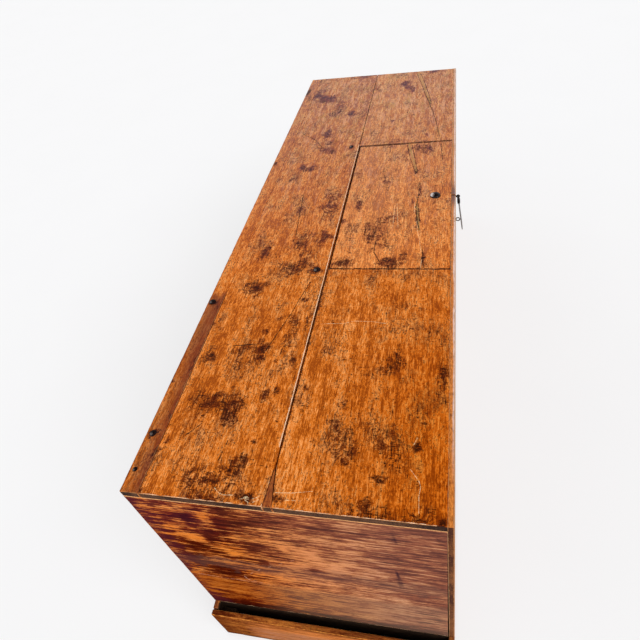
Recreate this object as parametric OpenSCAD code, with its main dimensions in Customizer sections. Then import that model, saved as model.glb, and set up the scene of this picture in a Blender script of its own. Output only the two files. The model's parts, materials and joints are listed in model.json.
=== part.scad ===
// Long wooden trunk: a flat fixed top with a turning lid in the middle of its front half,
// a forged iron hasp on the lid, a carved front board and a low plinth.
// Millimetres, Z up. The origin is the middle of the plinth's underside.
// X runs along the length, the front faces -Y, and "left" is the end at -X.

/* [Case] */
// Length of the case over its end panels
case_l = 1600; // [1400:10:1900]
// Depth of the case from the front face to the back face
case_w = 528; // [480:1:620]
// Height from the floor to the top surface
case_h = 660; // [600:1:760]
// Thickness of the front board
front_t = 24; // [20:1:30]
// Thickness of the lip that the front board keeps outside its rabbets
lip_t = 10; // [8:1:13]
// Thickness of the back board
back_t = 22; // [18:1:28]
// Thickness of the end panels
end_t = 22; // [18:1:28]
// Thickness of the floor boards
floor_t = 18; // [14:1:24]
// Gap between one floor board and the next
floor_gap = 1.5; // [0.5:0.5:4]

/* [Top] */
// Thickness of the top boards and of the lid
top_t = 16; // [14:1:20]
// Distance from the front face to the front edge of the back top board
seam_from_front = 281; // [270:1:292]
// Gap between the back top board and the two fixed boards in front of it
seam_gap = 3; // [1:0.5:5]
// Width of the strip along the back edge of the top
strip_w = 33; // [26:1:40]
// Gap between the back strip and the back top board
strip_gap = 0.8; // [0.4:0.2:2]
// Length of the wedge-shaped slip let into the seam at the left end
slip_l = 66; // [40:1:100]
// Width of the slip at the left end of the trunk
slip_w = 15; // [10:1:20]
// Gap around the slip
slip_gap = 0.5; // [0.3:0.1:1]
// Width of the cross bearers under the ends of the lid
bearer_w = 44; // [40:1:56]
// Height of the cross bearers
bearer_h = 30; // [24:1:45]
// Distance from the seams at the ends of the lid to the middle of the bearers
bearer_off = 4; // [0:0.5:8]

/* [Lid] */
// Distance from the left end of the trunk to the seam at the left end of the lid
lid_from = 536; // [480:1:600]
// Length of the lid from seam to seam along its back edge
lid_l = 536; // [480:1:600]
// How much longer the lid is along its front edge
lid_skew = 12; // [0:1:16]
// Gap between the lid and the fixed boards at its two ends
lid_side_gap = 1.6; // [1:0.2:3]
// Gap between the lid and the lip of the front board
lid_front_gap = 1.2; // [0.8:0.2:2]
// Gap between the lid and the back top board, in which the back edge of the lid turns
lid_back_gap = 6; // [5:0.5:8]
// Diameter of the iron pins that the lid turns on
pin_d = 6; // [4:0.5:8]
// Length of each pin, half in the lid and half in the fixed board
pin_l = 60; // [40:2:80]
// Width of the battens under the lid
batten_w = 40; // [30:1:60]
// Thickness of the battens under the lid
batten_t = 16; // [12:1:22]
// Distance from each end of the lid to the middle of its batten
batten_in = 84; // [70:1:110]
// Distance from the front board to the front end of a batten
batten_front = 14; // [8:1:40]
// Distance from the pins to the back end of a batten
batten_back = 18; // [14:1:40]

/* [Ironwork] */
// Radial clearance of pins and nails in their holes
fit = 0.06; // [0.03:0.01:0.1]
// Depth of the lid eye's shank below the top surface
eye_drop = 4; // [4:0.5:7]
// Thickness of the wire of both eyes
eye_wire = 2.8; // [2:0.2:3]
// Diameter of the loop bar of the hasp, which turns in the lid eye
bar_d = 4.2; // [3.8:0.2:4.6]
// Diameter of the shanks of both eyes
shank_d = 4.4; // [4:0.2:5]
// Length of the lid eye's shank inside the lid
lid_shank_l = 30; // [20:1:32]
// Gap between the lid eye and the front face
eye_gap = 0.3; // [0.3:0.1:1]
// Inner diameter of the staple eye in the front board
staple_bore = 6.8; // [6:0.2:7.4]
// Depth of the staple eye below the pin of the hasp
staple_drop = 71; // [60:1:76]
// Depth to which the ring of the staple eye is let into the front board
staple_sunk = 1.2; // [0.4:0.2:2]
// Length of the staple eye's shank inside the front board
staple_shank_l = 16; // [10:1:17]
// Lean of the hanging hasp outwards from the front board, in degrees
hasp_lean = 6.3; // [6.3:0.1:12]
// Width of the hasp strap
strap_w = 20; // [16:1:26]
// Thickness of the hasp strap
strap_t = 2.4; // [2:0.1:2.8]
// Length of the hasp from its bar to its tip
strap_l = 103; // [96:1:112]
// Width of the slot in the strap
slot_w = 6.4; // [5:0.2:8]
// Length of the slot in the strap
slot_l = 20; // [18:1:24]
// Inside width of the loop at the top of the hasp
loop_w = 9; // [6:0.5:11]
// Thickness of the loop's two sides
loop_d = 3.6; // [3:0.2:4.4]
// Thickness of the collar between the loop and the strap
collar_t = 7; // [5:0.5:8]
// Height of the collar
collar_h = 9; // [6:0.5:12]
// Distance from the bar to the collar
collar_drop = 9; // [8.5:0.5:11]
// Diameter of the domed stud on the lid
stud_d = 28; // [20:1:34]
// Height of the domed stud
stud_h = 7; // [5:0.5:9]
// Distance from the front face to the middle of the stud
stud_from_front = 50.5; // [48:0.5:70]
// Diameter of the stud's shank
stud_shank_d = 6; // [4:0.5:8]
// Length of the stud's shank inside the lid
stud_shank_l = 12; // [8:1:13]
// Height of the domed nail heads as a share of their diameter
nail_rise = 0.24; // [0.18:0.01:0.35]
// Diameter of the nail shanks
nail_shank_d = 4; // [3:0.5:5]
// Length of the nails under their heads
nail_l = 38; // [28:1:40]
// Nails of the back strip: distance from the left end, distance from the back face, head diameter
strip_nails_at = [[38.8, 10.5, 9], [105.6, 13, 13], [426.4, 10.5, 16]];
// Distance of the two nails of the back top board behind the long seam
top_nail_in = 22; // [14:1:40]
// Head diameters of those two nails, left and right
top_nail_heads = [17, 14];

/* [Carving] */
// Depth of the carving on the front board
carve_d = 4; // [2:0.5:5]
// Width of the grooves around the carved fields and the roundels
groove_w = 8; // [5:0.5:12]
// Plain margin above the carved fields, for the hasp
field_top = 128; // [122:1:140]
// Plain margin below the carved fields
field_bottom = 44; // [30:1:60]
// Plain margin at each end of the front board
field_side = 40; // [30:1:60]
// Plain width between one carved field and the next
field_gap = 40; // [25:1:60]
// Margin between a field's groove and the roundel inside it
roundel_margin = 14; // [8:1:24]
// Length of the leaf cut in each corner of a field
leaf_l = 84; // [60:1:90]

/* [Plinth] */
// Height of the plinth
plinth_h = 134; // [110:1:150]
// Thickness of the plinth boards
plinth_t = 13; // [11:1:15]
// Distance that the plinth stands out beyond the end panels
plinth_out = 29; // [24:1:40]
// Width of the cross members inside the plinth
member_w = 60; // [40:1:80]
// Height of the cross members inside the plinth
member_h = 72; // [50:1:100]
// Length of the corner blocks along the end boards of the plinth
block_l = 28; // [20:1:36]
// Height of the corner blocks
block_h = 90; // [60:1:100]
// Height of the corner blocks' undersides above the floor
block_up = 8; // [2:1:10]

/* [Hidden] */
$fn = 48;
left_x = -case_l / 2;
right_x = case_l / 2;
front_y = -case_w / 2;
back_y = case_w / 2;
under_z = case_h - top_t;
inner_y = front_y + front_t;
rear_y = back_y - back_t;
lip_y = front_y + lip_t;
seam_y = front_y + seam_from_front;
strip_y = back_y - strip_w;
side_h = under_z - plinth_h;
lid_left = left_x + lid_from;
lid_right = lid_left + lid_l;
bearer_left_x = lid_left - bearer_off;
bearer_right_x = lid_right + bearer_off;
strip_spots = [for (n = strip_nails_at) [left_x + n[0], back_y - n[1], n[2]]];
top_spots = [[bearer_left_x, seam_y + top_nail_in, top_nail_heads[0]],
    [bearer_right_x, seam_y + top_nail_in, top_nail_heads[1]]];
lid_back_y = seam_y - lid_back_gap;
lid_front_y = lip_y + lid_front_gap;
pivot_y = lid_back_y - top_t / 2;
pivot_z = case_h - top_t / 2;
pivot_sweep = norm([top_t / 2, top_t / 2]) + 1.2;
hasp_x = lid_left + (lid_l + lid_skew) / 2;
eye_bore = bar_d + 2 * fit;
eye_r = (eye_bore + eye_wire) / 2;
eye_y = front_y - eye_gap - eye_bore / 2 - eye_wire;
eye_z = case_h - eye_drop;
staple_r = (staple_bore + eye_wire) / 2;
staple_y = front_y + staple_sunk - staple_bore / 2 - eye_wire;
staple_z = eye_z - staple_drop;
floor_w = (rear_y - inner_y - 2 * floor_gap) / 3;
field_pitch = (case_l - 2 * field_side + field_gap) / 3;
field_w = field_pitch - field_gap;
field_h = case_h - plinth_h - field_top - field_bottom;
field_z = plinth_h + field_bottom + field_h / 2;
roundel_r = min(field_w, field_h) / 2 - groove_w - roundel_margin;

// A box between two opposite corners.
module block(low, high) {
    translate(low) cube(high - low);
}

// A board with the given outline, lying with its top face level with the top surface.
module top_plank(outline) {
    translate([0, 0, under_z]) linear_extrude(top_t) polygon(outline);
}

// X of the slanting seam at the right end of the lid, for a place across the trunk.
function skew_x(y) = lid_right + lid_skew * (seam_y - y) / (seam_y - lip_y);

// A domed head of the given diameter and height on the plane z = 0, with a shank below it.
module domed_nail(head, rise, shank, long) {
    ball = (head * head / 4 + rise * rise) / (2 * rise);
    intersection() {
        translate([0, 0, rise - ball]) sphere(ball);
        translate([0, 0, rise / 2]) cube([head + 2, head + 2, rise], center = true);
    }
    translate([0, 0, -long]) cylinder(h = long + rise / 2, d = shank);
}

// Nails at the given spots in the top: X, Y and head diameter.
module nails(spots) {
    for (spot = spots) translate([spot[0], spot[1], case_h])
        domed_nail(spot[2], spot[2] * nail_rise, nail_shank_d, nail_l);
}

// The holes of such nails, right through whatever they are cut from.
module nail_holes(spots) {
    for (spot = spots) translate([spot[0], spot[1], case_h - nail_l - 1])
        cylinder(h = nail_l + 2, d = nail_shank_d + 2 * fit);
}

// A round ring lying in the plane across X, with a shank running in from it towards +Y.
module eye_pin(ring_r, shank_l) {
    rotate([0, 90, 0]) rotate_extrude() translate([ring_r, 0]) circle(d = eye_wire);
    translate([0, ring_r, 0]) rotate([-90, 0, 0]) cylinder(h = shank_l, d = shank_d);
}

// The pocket and the hole of the staple eye in the front board.
module staple_hole() {
    pocket = staple_bore + 2 * eye_wire;
    translate([hasp_x, front_y, staple_z]) {
        cube([eye_wire + 0.6, 2 * staple_sunk + 0.6, pocket + 0.6], center = true);
        rotate([-90, 0, 0]) cylinder(h = staple_shank_l + 4, d = shank_d + 2 * fit);
    }
}

// A lens between two equal arcs, standing along +Z in the front face and cut into it.
module lens(long) {
    arc_r = long;
    off = arc_r * cos(30);
    translate([0, 0, long / 2]) intersection() {
        translate([-off, 0, 0]) rotate([90, 0, 0]) cylinder(h = 2 * carve_d, r = arc_r, center = true, $fn = 96);
        translate([off, 0, 0]) rotate([90, 0, 0]) cylinder(h = 2 * carve_d, r = arc_r, center = true, $fn = 96);
    }
}

// A round groove in the front face.
module round_groove(r) {
    rotate([90, 0, 0]) difference() {
        cylinder(h = 2 * carve_d, r = r, center = true, $fn = 96);
        cylinder(h = 2 * carve_d + 2, r = r - groove_w, center = true, $fn = 96);
    }
}

// One carved field: a squared groove, a roundel with six petals, and a leaf in each corner.
module field() {
    difference() {
        cube([field_w, 2 * carve_d, field_h], center = true);
        cube([field_w - 2 * groove_w, 3 * carve_d, field_h - 2 * groove_w], center = true);
    }
    round_groove(roundel_r);
    for (turn = [0 : 60 : 300])
        rotate([0, turn, 0]) lens(roundel_r - 2 * groove_w);
    for (sx = [-1, 1], sz = [-1, 1])
        translate([sx * (field_w / 2 - 2 * groove_w), 0, sz * (field_h / 2 - 2 * groove_w)])
            rotate([0, -sx * (90 + sz * 45), 0]) lens(leaf_l);
}

module front_board() {
    color("saddlebrown") difference() {
        union() {
            block([left_x, front_y, plinth_h], [right_x, lip_y, case_h]);
            block([left_x + end_t, front_y, plinth_h], [right_x - end_t, inner_y, under_z]);
        }
        for (i = [-1 : 1]) translate([i * field_pitch, front_y, field_z]) field();
        block([hasp_x - shank_d / 2 - 1, front_y - 1, eye_z - shank_d / 2 - 1],
            [hasp_x + shank_d / 2 + 1, lip_y + 1, case_h + 1]);
        staple_hole();
    }
}

module back_board() {
    color("saddlebrown") difference() {
        block([left_x + end_t, rear_y, plinth_h], [right_x - end_t, back_y, under_z]);
        nail_holes(strip_spots);
    }
}

// An end panel from the lip of the front board to the back face, covering the back board's end.
module end_panel(side) {
    color("sienna") block(
        [side > 0 ? right_x - end_t : left_x, lip_y, plinth_h],
        [side > 0 ? right_x : left_x + end_t, back_y, under_z]);
}

// A floor board, counted from the front.
module floor_board(index) {
    from_y = inner_y + index * (floor_w + floor_gap);
    color("peru") block([left_x + end_t, from_y, plinth_h],
        [right_x - end_t, from_y + floor_w, plinth_h + floor_t]);
}

module top_back_board() {
    color("chocolate") difference() {
        top_plank([[left_x, strip_y - strip_gap], [right_x, strip_y - strip_gap],
            [right_x, seam_y], [left_x + slip_l, seam_y],
            [left_x, seam_y + slip_gap + slip_w / 4]]);
        nail_holes(top_spots);
    }
}

// The hole in a fixed board for a pin of the lid, reaching away from the lid.
module pin_hole(x, side) {
    translate([x, pivot_y, pivot_z]) rotate([0, side * 90, 0])
        cylinder(h = pin_l / 2 + 2, d = pin_d + 2 * fit);
}

module top_left_board() {
    back = seam_y - seam_gap;
    color("chocolate") difference() {
        top_plank([[left_x, lip_y], [lid_left - lid_side_gap / 2, lip_y],
            [lid_left - lid_side_gap / 2, back], [left_x + slip_l, back],
            [left_x, seam_y - slip_gap - slip_w * 3 / 4]]);
        pin_hole(lid_left, -1);
    }
}

module top_right_board() {
    back = seam_y - seam_gap;
    color("chocolate") difference() {
        top_plank([[skew_x(lip_y) + lid_side_gap / 2, lip_y], [right_x, lip_y],
            [right_x, back], [skew_x(back) + lid_side_gap / 2, back]]);
        pin_hole(skew_x(pivot_y), 1);
    }
}

module back_strip() {
    color("sienna") difference() {
        block([left_x, strip_y, under_z], [right_x, back_y, case_h]);
        nail_holes(strip_spots);
    }
}

module seam_slip() {
    color("tan") top_plank([[left_x, seam_y - slip_w * 3 / 4], [left_x, seam_y + slip_w / 4],
        [left_x + slip_l - 4, seam_y - seam_gap / 2]]);
}

// A cross bearer between the front and back boards, relieved where the lid's back edge turns.
// The lid is on the side given: 1 towards the right end, -1 towards the left end.
module bearer(x, side) {
    color("peru") difference() {
        block([x - bearer_w / 2, inner_y, under_z - bearer_h], [x + bearer_w / 2, rear_y, under_z]);
        translate([x + side * (bearer_w / 2 + 1), pivot_y, pivot_z]) rotate([0, -side * 90, 0])
            cylinder(h = bearer_w / 2 + 5, r = pivot_sweep);
        nail_holes(top_spots);
    }
}

module back_strip_nails() {
    color("dimgray") nails(strip_spots);
}

module top_nails() {
    color("dimgray") nails(top_spots);
}

module staple_eye() {
    color("dimgray") translate([hasp_x, staple_y, staple_z]) eye_pin(staple_r, staple_shank_l);
}

// A long plinth board along the front or the back.
module plinth_long(side) {
    outer = side * case_w / 2;
    inner = side * (case_w / 2 - plinth_t);
    reach = case_l / 2 + plinth_out - plinth_t;
    color("saddlebrown")
        block([-reach, min(outer, inner), 0], [reach, max(outer, inner), plinth_h]);
}

// A plinth board across an end of the trunk.
module plinth_end(side) {
    outer = case_l / 2 + plinth_out;
    inner = outer - plinth_t;
    color("saddlebrown")
        block([side > 0 ? inner : -outer, front_y, 0], [side > 0 ? outer : -inner, back_y, plinth_h]);
}

// A cross member of the plinth. The outer two stand under the end panels.
module plinth_member(x) {
    color("peru") block([x - member_w / 2, front_y + plinth_t, plinth_h - member_h],
        [x + member_w / 2, back_y - plinth_t, plinth_h]);
}

// Corner blocks between the end boards of the plinth and the outer cross members.
module plinth_blocks() {
    slot = plinth_out - plinth_t;
    far_y = case_w / 2 - plinth_t;
    color("peru") for (sx = [-1, 1], sy = [-1, 1])
        translate([sx * (case_l + slot) / 2, sy * (far_y - block_l / 2), block_up + block_h / 2])
            cube([slot, block_l, block_h], center = true);
}

module lid_board() {
    color("chocolate") difference() {
        top_plank([[lid_left + lid_side_gap / 2, lid_front_y],
            [skew_x(lid_front_y) - lid_side_gap / 2, lid_front_y],
            [skew_x(lid_back_y) - lid_side_gap / 2, lid_back_y],
            [lid_left + lid_side_gap / 2, lid_back_y]]);
        pin_hole(lid_left, 1);
        pin_hole(skew_x(pivot_y), -1);
        translate([hasp_x, lid_front_y - 1, eye_z]) rotate([-90, 0, 0])
            cylinder(h = lid_shank_l + 2, d = shank_d + 2 * fit);
        translate([hasp_x, front_y + stud_from_front, case_h - stud_shank_l - 1])
            cylinder(h = stud_shank_l + 2, d = stud_shank_d + 2 * fit);
    }
}

module lid_batten(x) {
    color("peru") block([x - batten_w / 2, inner_y + batten_front, under_z - batten_t],
        [x + batten_w / 2, pivot_y - batten_back, under_z]);
}

module lid_pins() {
    color("dimgray") for (x = [lid_left, skew_x(pivot_y)])
        translate([x, pivot_y, pivot_z]) rotate([0, 90, 0]) cylinder(h = pin_l, d = pin_d, center = true);
}

module lid_stud() {
    color("dimgray") translate([hasp_x, front_y + stud_from_front, case_h])
        domed_nail(stud_d, stud_h, stud_shank_d, stud_shank_l);
}

module lid_eye() {
    reach = lid_front_y - eye_y - eye_r + lid_shank_l;
    color("dimgray") translate([hasp_x, eye_y, eye_z]) eye_pin(eye_r, reach);
}

// The outline of the strap with its round tip and its slot, hanging along -Y in the plane.
module strap_outline() {
    difference() {
        union() {
            translate([-strap_w / 2, strap_w / 2 - strap_l])
                square([strap_w, strap_l - strap_w / 2 - collar_drop]);
            translate([0, strap_w / 2 - strap_l]) circle(d = strap_w);
        }
        translate([-slot_w / 2, -staple_drop - (slot_l - slot_w) / 2])
            square([slot_w, slot_l - slot_w]);
        for (end = [-1, 1])
            translate([0, -staple_drop + end * (slot_l - slot_w) / 2]) circle(d = slot_w);
    }
}

// The hasp turns about its loop bar, which lies in the lid eye along X.
module hasp() {
    half = (loop_w + loop_d) / 2;
    color("dimgray") translate([hasp_x, eye_y, eye_z]) rotate([-hasp_lean, 0, 0]) {
        rotate([0, 90, 0]) cylinder(h = 2 * half, d = bar_d, center = true);
        for (side = [-1, 1]) translate([side * half, 0, 0]) {
            sphere(d = bar_d);
            translate([0, 0, -collar_drop - 1]) cylinder(h = collar_drop + 1, d = loop_d);
        }
        translate([-half - loop_d / 2, -collar_t / 2, -collar_drop - collar_h])
            cube([2 * half + loop_d, collar_t, collar_h]);
        rotate([90, 0, 0]) linear_extrude(strap_t, center = true) strap_outline();
    }
}

front_board();
back_board();
end_panel(-1);  // end_panel_left
end_panel(1);  // end_panel_right
floor_board(0);  // floor_board_front
floor_board(1);  // floor_board_middle
floor_board(2);  // floor_board_back
top_back_board();
top_left_board();
top_right_board();
back_strip();
seam_slip();
bearer(bearer_left_x, 1);  // bearer_left
bearer(bearer_right_x, -1);  // bearer_right
back_strip_nails();
top_nails();
staple_eye();
plinth_long(-1);  // plinth_front
plinth_long(1);  // plinth_back
plinth_end(-1);  // plinth_left
plinth_end(1);  // plinth_right
plinth_member(left_x + member_w / 2);  // plinth_member_left
plinth_member(0);  // plinth_member_middle
plinth_member(right_x - member_w / 2);  // plinth_member_right
plinth_blocks();
lid_board();
lid_batten(lid_left + batten_in);  // lid_batten_left
lid_batten(lid_right - batten_in);  // lid_batten_right
lid_pins();
lid_stud();
lid_eye();
hasp();
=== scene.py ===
"""Carved wooden trunk: waxed boards, dark stained ends, a carved front and forged ironwork.

Every piece except the bearers and the lid's pins, which keep their CAD meshes, is a surface
worked out with numpy in millimetres and put into its mesh in metres, in the frame of the CAD
model. The trunk's length is X, its front faces -Y.
"""
import json
import math

import bpy
import numpy as np
from mathutils import Matrix, Vector


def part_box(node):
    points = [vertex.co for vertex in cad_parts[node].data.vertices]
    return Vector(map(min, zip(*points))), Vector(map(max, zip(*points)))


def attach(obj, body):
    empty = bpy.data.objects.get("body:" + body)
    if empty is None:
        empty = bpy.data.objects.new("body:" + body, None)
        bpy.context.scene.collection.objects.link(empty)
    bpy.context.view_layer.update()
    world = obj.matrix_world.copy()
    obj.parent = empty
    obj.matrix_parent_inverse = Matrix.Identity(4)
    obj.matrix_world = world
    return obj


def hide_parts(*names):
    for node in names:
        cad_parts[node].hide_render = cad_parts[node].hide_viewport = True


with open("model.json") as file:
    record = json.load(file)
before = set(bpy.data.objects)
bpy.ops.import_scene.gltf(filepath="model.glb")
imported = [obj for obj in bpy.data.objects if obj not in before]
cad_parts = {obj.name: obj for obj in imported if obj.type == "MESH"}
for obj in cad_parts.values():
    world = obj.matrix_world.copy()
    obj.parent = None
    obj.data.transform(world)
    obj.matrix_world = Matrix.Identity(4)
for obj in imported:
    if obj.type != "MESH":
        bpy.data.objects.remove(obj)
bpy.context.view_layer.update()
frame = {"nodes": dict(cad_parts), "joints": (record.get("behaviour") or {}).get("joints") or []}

# Millimetres: the lid's eye, the hasp and the staple stand at this X
EYE_X = 10.0
# Metres: X from where the painted sheen begins to pale the wood, and from where it is full
SHEEN_START, SHEEN_END = -0.3, 0.55


# Surfaces

def cad(node):
    """The lowest and highest corner of a CAD node, in millimetres."""
    low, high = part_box(node)
    return np.array(low) * 1000, np.array(high) * 1000


def lumps(points, size, seed):
    """Random heights from -1 to 1: values on a lattice of the given size in millimetres,
    blended inside each cell by 3t^2 - 2t^3 along each axis."""
    cell = np.asarray(points, float) / np.asarray(size, float) + seed * 17.31
    base = np.floor(cell).astype(np.int64)
    part = cell - base
    part = part * part * (3 - 2 * part)
    total = np.zeros(len(cell))
    for corner in range(8):
        bits = np.array([corner & 1, corner >> 1 & 1, corner >> 2 & 1])
        spot = (base + bits) * np.array([73856093, 19349663, 83492791])
        key = (spot[:, 0] ^ spot[:, 1] ^ spot[:, 2]) & 0x7FFFFFFF
        key = (key * 1103515245 + 12345) & 0x7FFFFFFF
        value = (key >> 8 & 0xFFFF) / 32767.5 - 1
        total += value * np.prod(np.where(bits == 1, part, 1 - part), axis=1)
    return total


def between(values, old, new):
    """Moves values from the old pair of limits to the new pair, in proportion."""
    return new[0] + (values - old[0]) * (new[1] - new[0]) / (old[1] - old[0])


def skin(rings, around, closed=False):
    """Quads between neighbouring rings of points, each ring closed on itself."""
    i, j = np.meshgrid(np.arange(rings if closed else rings - 1), np.arange(around), indexing="ij")
    after = (i + 1) % rings * around
    return np.stack([i * around + j, i * around + (j + 1) % around,
                     after + (j + 1) % around, after + j], -1).reshape(-1, 4).tolist()


def caps(rings, around):
    """One flat face over the first ring and one over the last."""
    return [list(range(around))[::-1], list(range((rings - 1) * around, rings * around))]


def solid(name, shells, marks=None):
    """An object from closed shells of points in millimetres, turned inside out where the
    signed volume of a shell, the sum of p0 . (p1 x p2) / 6 over its faces, is negative."""
    points, faces, start = [], [], 0
    for spots, sides in shells:
        spots = np.asarray(spots, float)
        fan = np.array([(f[0], f[k], f[k + 1]) for f in sides for k in range(1, len(f) - 1)])
        tri = spots[fan]
        if np.einsum("ij,ij->i", tri[:, 0], np.cross(tri[:, 1], tri[:, 2])).sum() < 0:
            sides = [f[::-1] for f in sides]
        points.append(spots)
        faces += [[k + start for k in f] for f in sides]
        start += len(spots)
    mesh = bpy.data.meshes.new(name)
    mesh.from_pydata((np.concatenate(points) / 1000).tolist(), [], faces)
    mesh.shade_smooth()
    for key, values in (marks or {}).items():
        mesh.attributes.new(key, "FLOAT", "POINT").data.foreach_set("value", np.asarray(values, np.float32))
    mesh.update()
    piece = bpy.data.objects.new(name, mesh)
    bpy.context.scene.collection.objects.link(piece)
    return piece


def board_shell(low, high, axes="xyz", arris=1.0, fine=8.0, growth=0.0, wear=0.5, seed=1):
    """A board: a rounded rectangle carried along its length, drawn in at both ends on a
    quarter circle. A point is core + k r n, with n the way out of the rounded corner, r the
    arris and k running 0.2 .. 1 over the end's rounding. Wear then moves each point towards
    the board's core, most along the arrises. Returns points, faces and arris distances."""
    s, u, v = ["xyz".index(a) for a in axes]
    half_u, half_v = (high[u] - low[u]) / 2, (high[v] - low[v]) / 2
    r = min(arris, half_v * 0.6)
    inner_u, inner_v = half_u - r, half_v - r
    turn = np.radians([22, 45, 68])
    core, out = [], []
    corners = [(-1, 1), (1, 1), (1, -1), (-1, -1)]
    for side in range(4):
        a, b = np.array(corners[side]), np.array(corners[(side + 1) % 4])
        wide = side % 2 == 0
        reach = 2 * (inner_u if wide else inner_v)
        step = (fine if side == 0 else 24.0) if wide else 5.0
        count = max(2, int(reach / step))
        lead = [0, 0.5 / reach, 1.8 / reach] if reach > 8 else [0]
        t = np.unique(np.concatenate([lead, np.linspace(0, 1, count + 1)[1:-1], 1 - np.array(lead)]))
        core.append((a + np.outer(t, b - a)) * [inner_u, inner_v])
        normal = np.array([0, a[1]]) if wide else np.array([a[0], 0])
        out.append(np.tile(normal, (len(t), 1)))
        core.append(np.tile(b * [inner_u, inner_v], (3, 1)))
        follow = np.array([b[0], 0]) if wide else np.array([0, b[1]])
        out.append(np.outer(np.cos(turn), normal) + np.outer(np.sin(turn), follow))
    core, out = np.concatenate(core), np.concatenate(out)

    long = high[s] - low[s]
    steps = [r, r + 0.5, r + 2.0]
    while steps[-1] < long - r - 2.0 - fine:
        steps.append(steps[-1] + fine * (1 + growth * steps[-1]))
    steps = [t for t in steps if t < long - r - 2.2] + [long - r - 2.0, long - r - 0.5, long - r]
    pull = np.array([0.2, 0.45, 0.75])
    draw = np.array([min(inner_v * 0.6, 4.0), 1.4, 0.0])
    lip = r * (1 - np.sqrt(1 - pull ** 2))
    place = np.concatenate([np.full(2, lip[0]), lip, steps, long - lip[::-1], np.full(2, long - lip[0])])
    k = np.concatenate([[0.2, 0.2], pull, np.ones(len(steps)), pull[::-1], [0.2, 0.2]])
    inset = np.concatenate([draw, np.zeros(len(place) - 6), draw[::-1]])
    shrink = np.stack([1 - inset / inner_u, 1 - inset / inner_v], -1)
    flat = core[None] * shrink[:, None] + (k * r)[:, None, None] * out[None]
    rings, around = flat.shape[:2]
    points = np.empty((rings * around, 3))
    points[:, s] = np.repeat(low[s] + place, around)
    points[:, u] = (low[u] + high[u]) / 2 + flat[..., 0].ravel()
    points[:, v] = (low[v] + high[v]) / 2 + flat[..., 1].ravel()

    gaps = np.minimum(points - low, high - points)
    edge = np.sort(gaps, axis=1)[:, 1]
    middle = np.clip(points, low + min(5.0, half_v * 0.8), high - min(5.0, half_v * 0.8))
    way = middle - points
    way /= np.maximum(np.linalg.norm(way, axis=1, keepdims=True), 1e-6)
    rub = np.exp(-edge / 1.8) * np.clip(lumps(points, 9, seed) + 0.25, 0, 1) * 1.1
    knock = np.exp(-edge / 4.5) * np.clip(lumps(points, 34, seed + 3) - 0.6, 0, 1) * 4.0
    sink = 0.22 * (1 + lumps(points, 60, seed + 5))
    points = points + way * (wear * (rub + knock + sink))[:, None]
    return points, skin(rings, around) + caps(rings, around), edge


def tube(path, radius, around=16, closed=False):
    """A round bar: a circle of the given radius carried along a flat path. Each ring is
    r (s cos t + u sin t), with s the way square to the path's plane and u = ahead x s."""
    path = np.asarray(path, float)
    ahead = np.roll(path, -1, 0) - np.roll(path, 1, 0)
    if not closed:
        ahead[0], ahead[-1] = path[1] - path[0], path[-1] - path[-2]
    ahead /= np.linalg.norm(ahead, axis=1, keepdims=True)
    spread = np.linalg.svd(path - path.mean(0))[2][2]
    side = spread - ahead * (ahead @ spread)[:, None]
    side /= np.linalg.norm(side, axis=1, keepdims=True)
    up = np.cross(ahead, side)
    t = np.linspace(0, 2 * math.pi, around, endpoint=False)
    ring = side[:, None] * np.cos(t)[None, :, None] + up[:, None] * np.sin(t)[None, :, None]
    radius = np.broadcast_to(np.asarray(radius, float), len(path))
    points = (path[:, None] + ring * radius[:, None, None]).reshape(-1, 3)
    return points, skin(len(path), around, closed) + ([] if closed else caps(len(path), around))


def turned(radii, heights, middle, axes="xyz", around=32):
    """A round part: radii at heights along the third of its axes, turned about that axis."""
    t = np.linspace(0, 2 * math.pi, around, endpoint=False)
    radii, heights = np.asarray(radii, float), np.asarray(heights, float)
    order = ["xyz".index(a) for a in axes]
    points = np.empty((len(radii) * around, 3))
    points[:, order[0]] = np.outer(radii, np.cos(t)).ravel()
    points[:, order[1]] = np.outer(radii, np.sin(t)).ravel()
    points[:, order[2]] = np.repeat(heights, around)
    return points + middle, skin(len(radii), around) + caps(len(radii), around)


# Materials

def linear(colour):
    """An sRGB hex colour as linear RGBA."""
    parts = [int(colour[k:k + 2], 16) / 255 for k in (1, 3, 5)]
    return [p / 12.92 if p <= 0.04045 else ((p + 0.055) / 1.055) ** 2.4 for p in parts] + [1.0]


def put(tree, kind, inputs=None, out=0, stops=None, **settings):
    """Adds a node with its settings, its inputs by name or number, and a ramp's stops;
    returns one of its outputs."""
    made = tree.nodes.new("ShaderNode" + kind)
    for key, value in settings.items():
        setattr(made, key, value)
    for key, value in (inputs or {}).items():
        if isinstance(value, bpy.types.NodeSocket):
            tree.links.new(value, made.inputs[key])
        elif isinstance(value, str):
            made.inputs[key].default_value = linear(value)
        else:
            made.inputs[key].default_value = value
    for index, (at, colour) in enumerate(stops or []):
        ramp = made.color_ramp.elements
        stop = ramp[index] if index < 2 else ramp.new(at)
        stop.position = at
        stop.color = linear(colour) if isinstance(colour, str) else [colour] * 3 + [1.0]
    return made.outputs[out]


def new_material(name):
    """An empty material, its tree and its output node."""
    made = bpy.data.materials.new(name)
    made.use_nodes = True
    made.node_tree.nodes.clear()
    return made, made.node_tree, made.node_tree.nodes.new("ShaderNodeOutputMaterial")


def stretch(run, along, across):
    """Pattern scale for one axis of the grain: one cell is along x across millimetres."""
    return [1000 / (along if axis == run else across) for axis in "xyz"]


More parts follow.
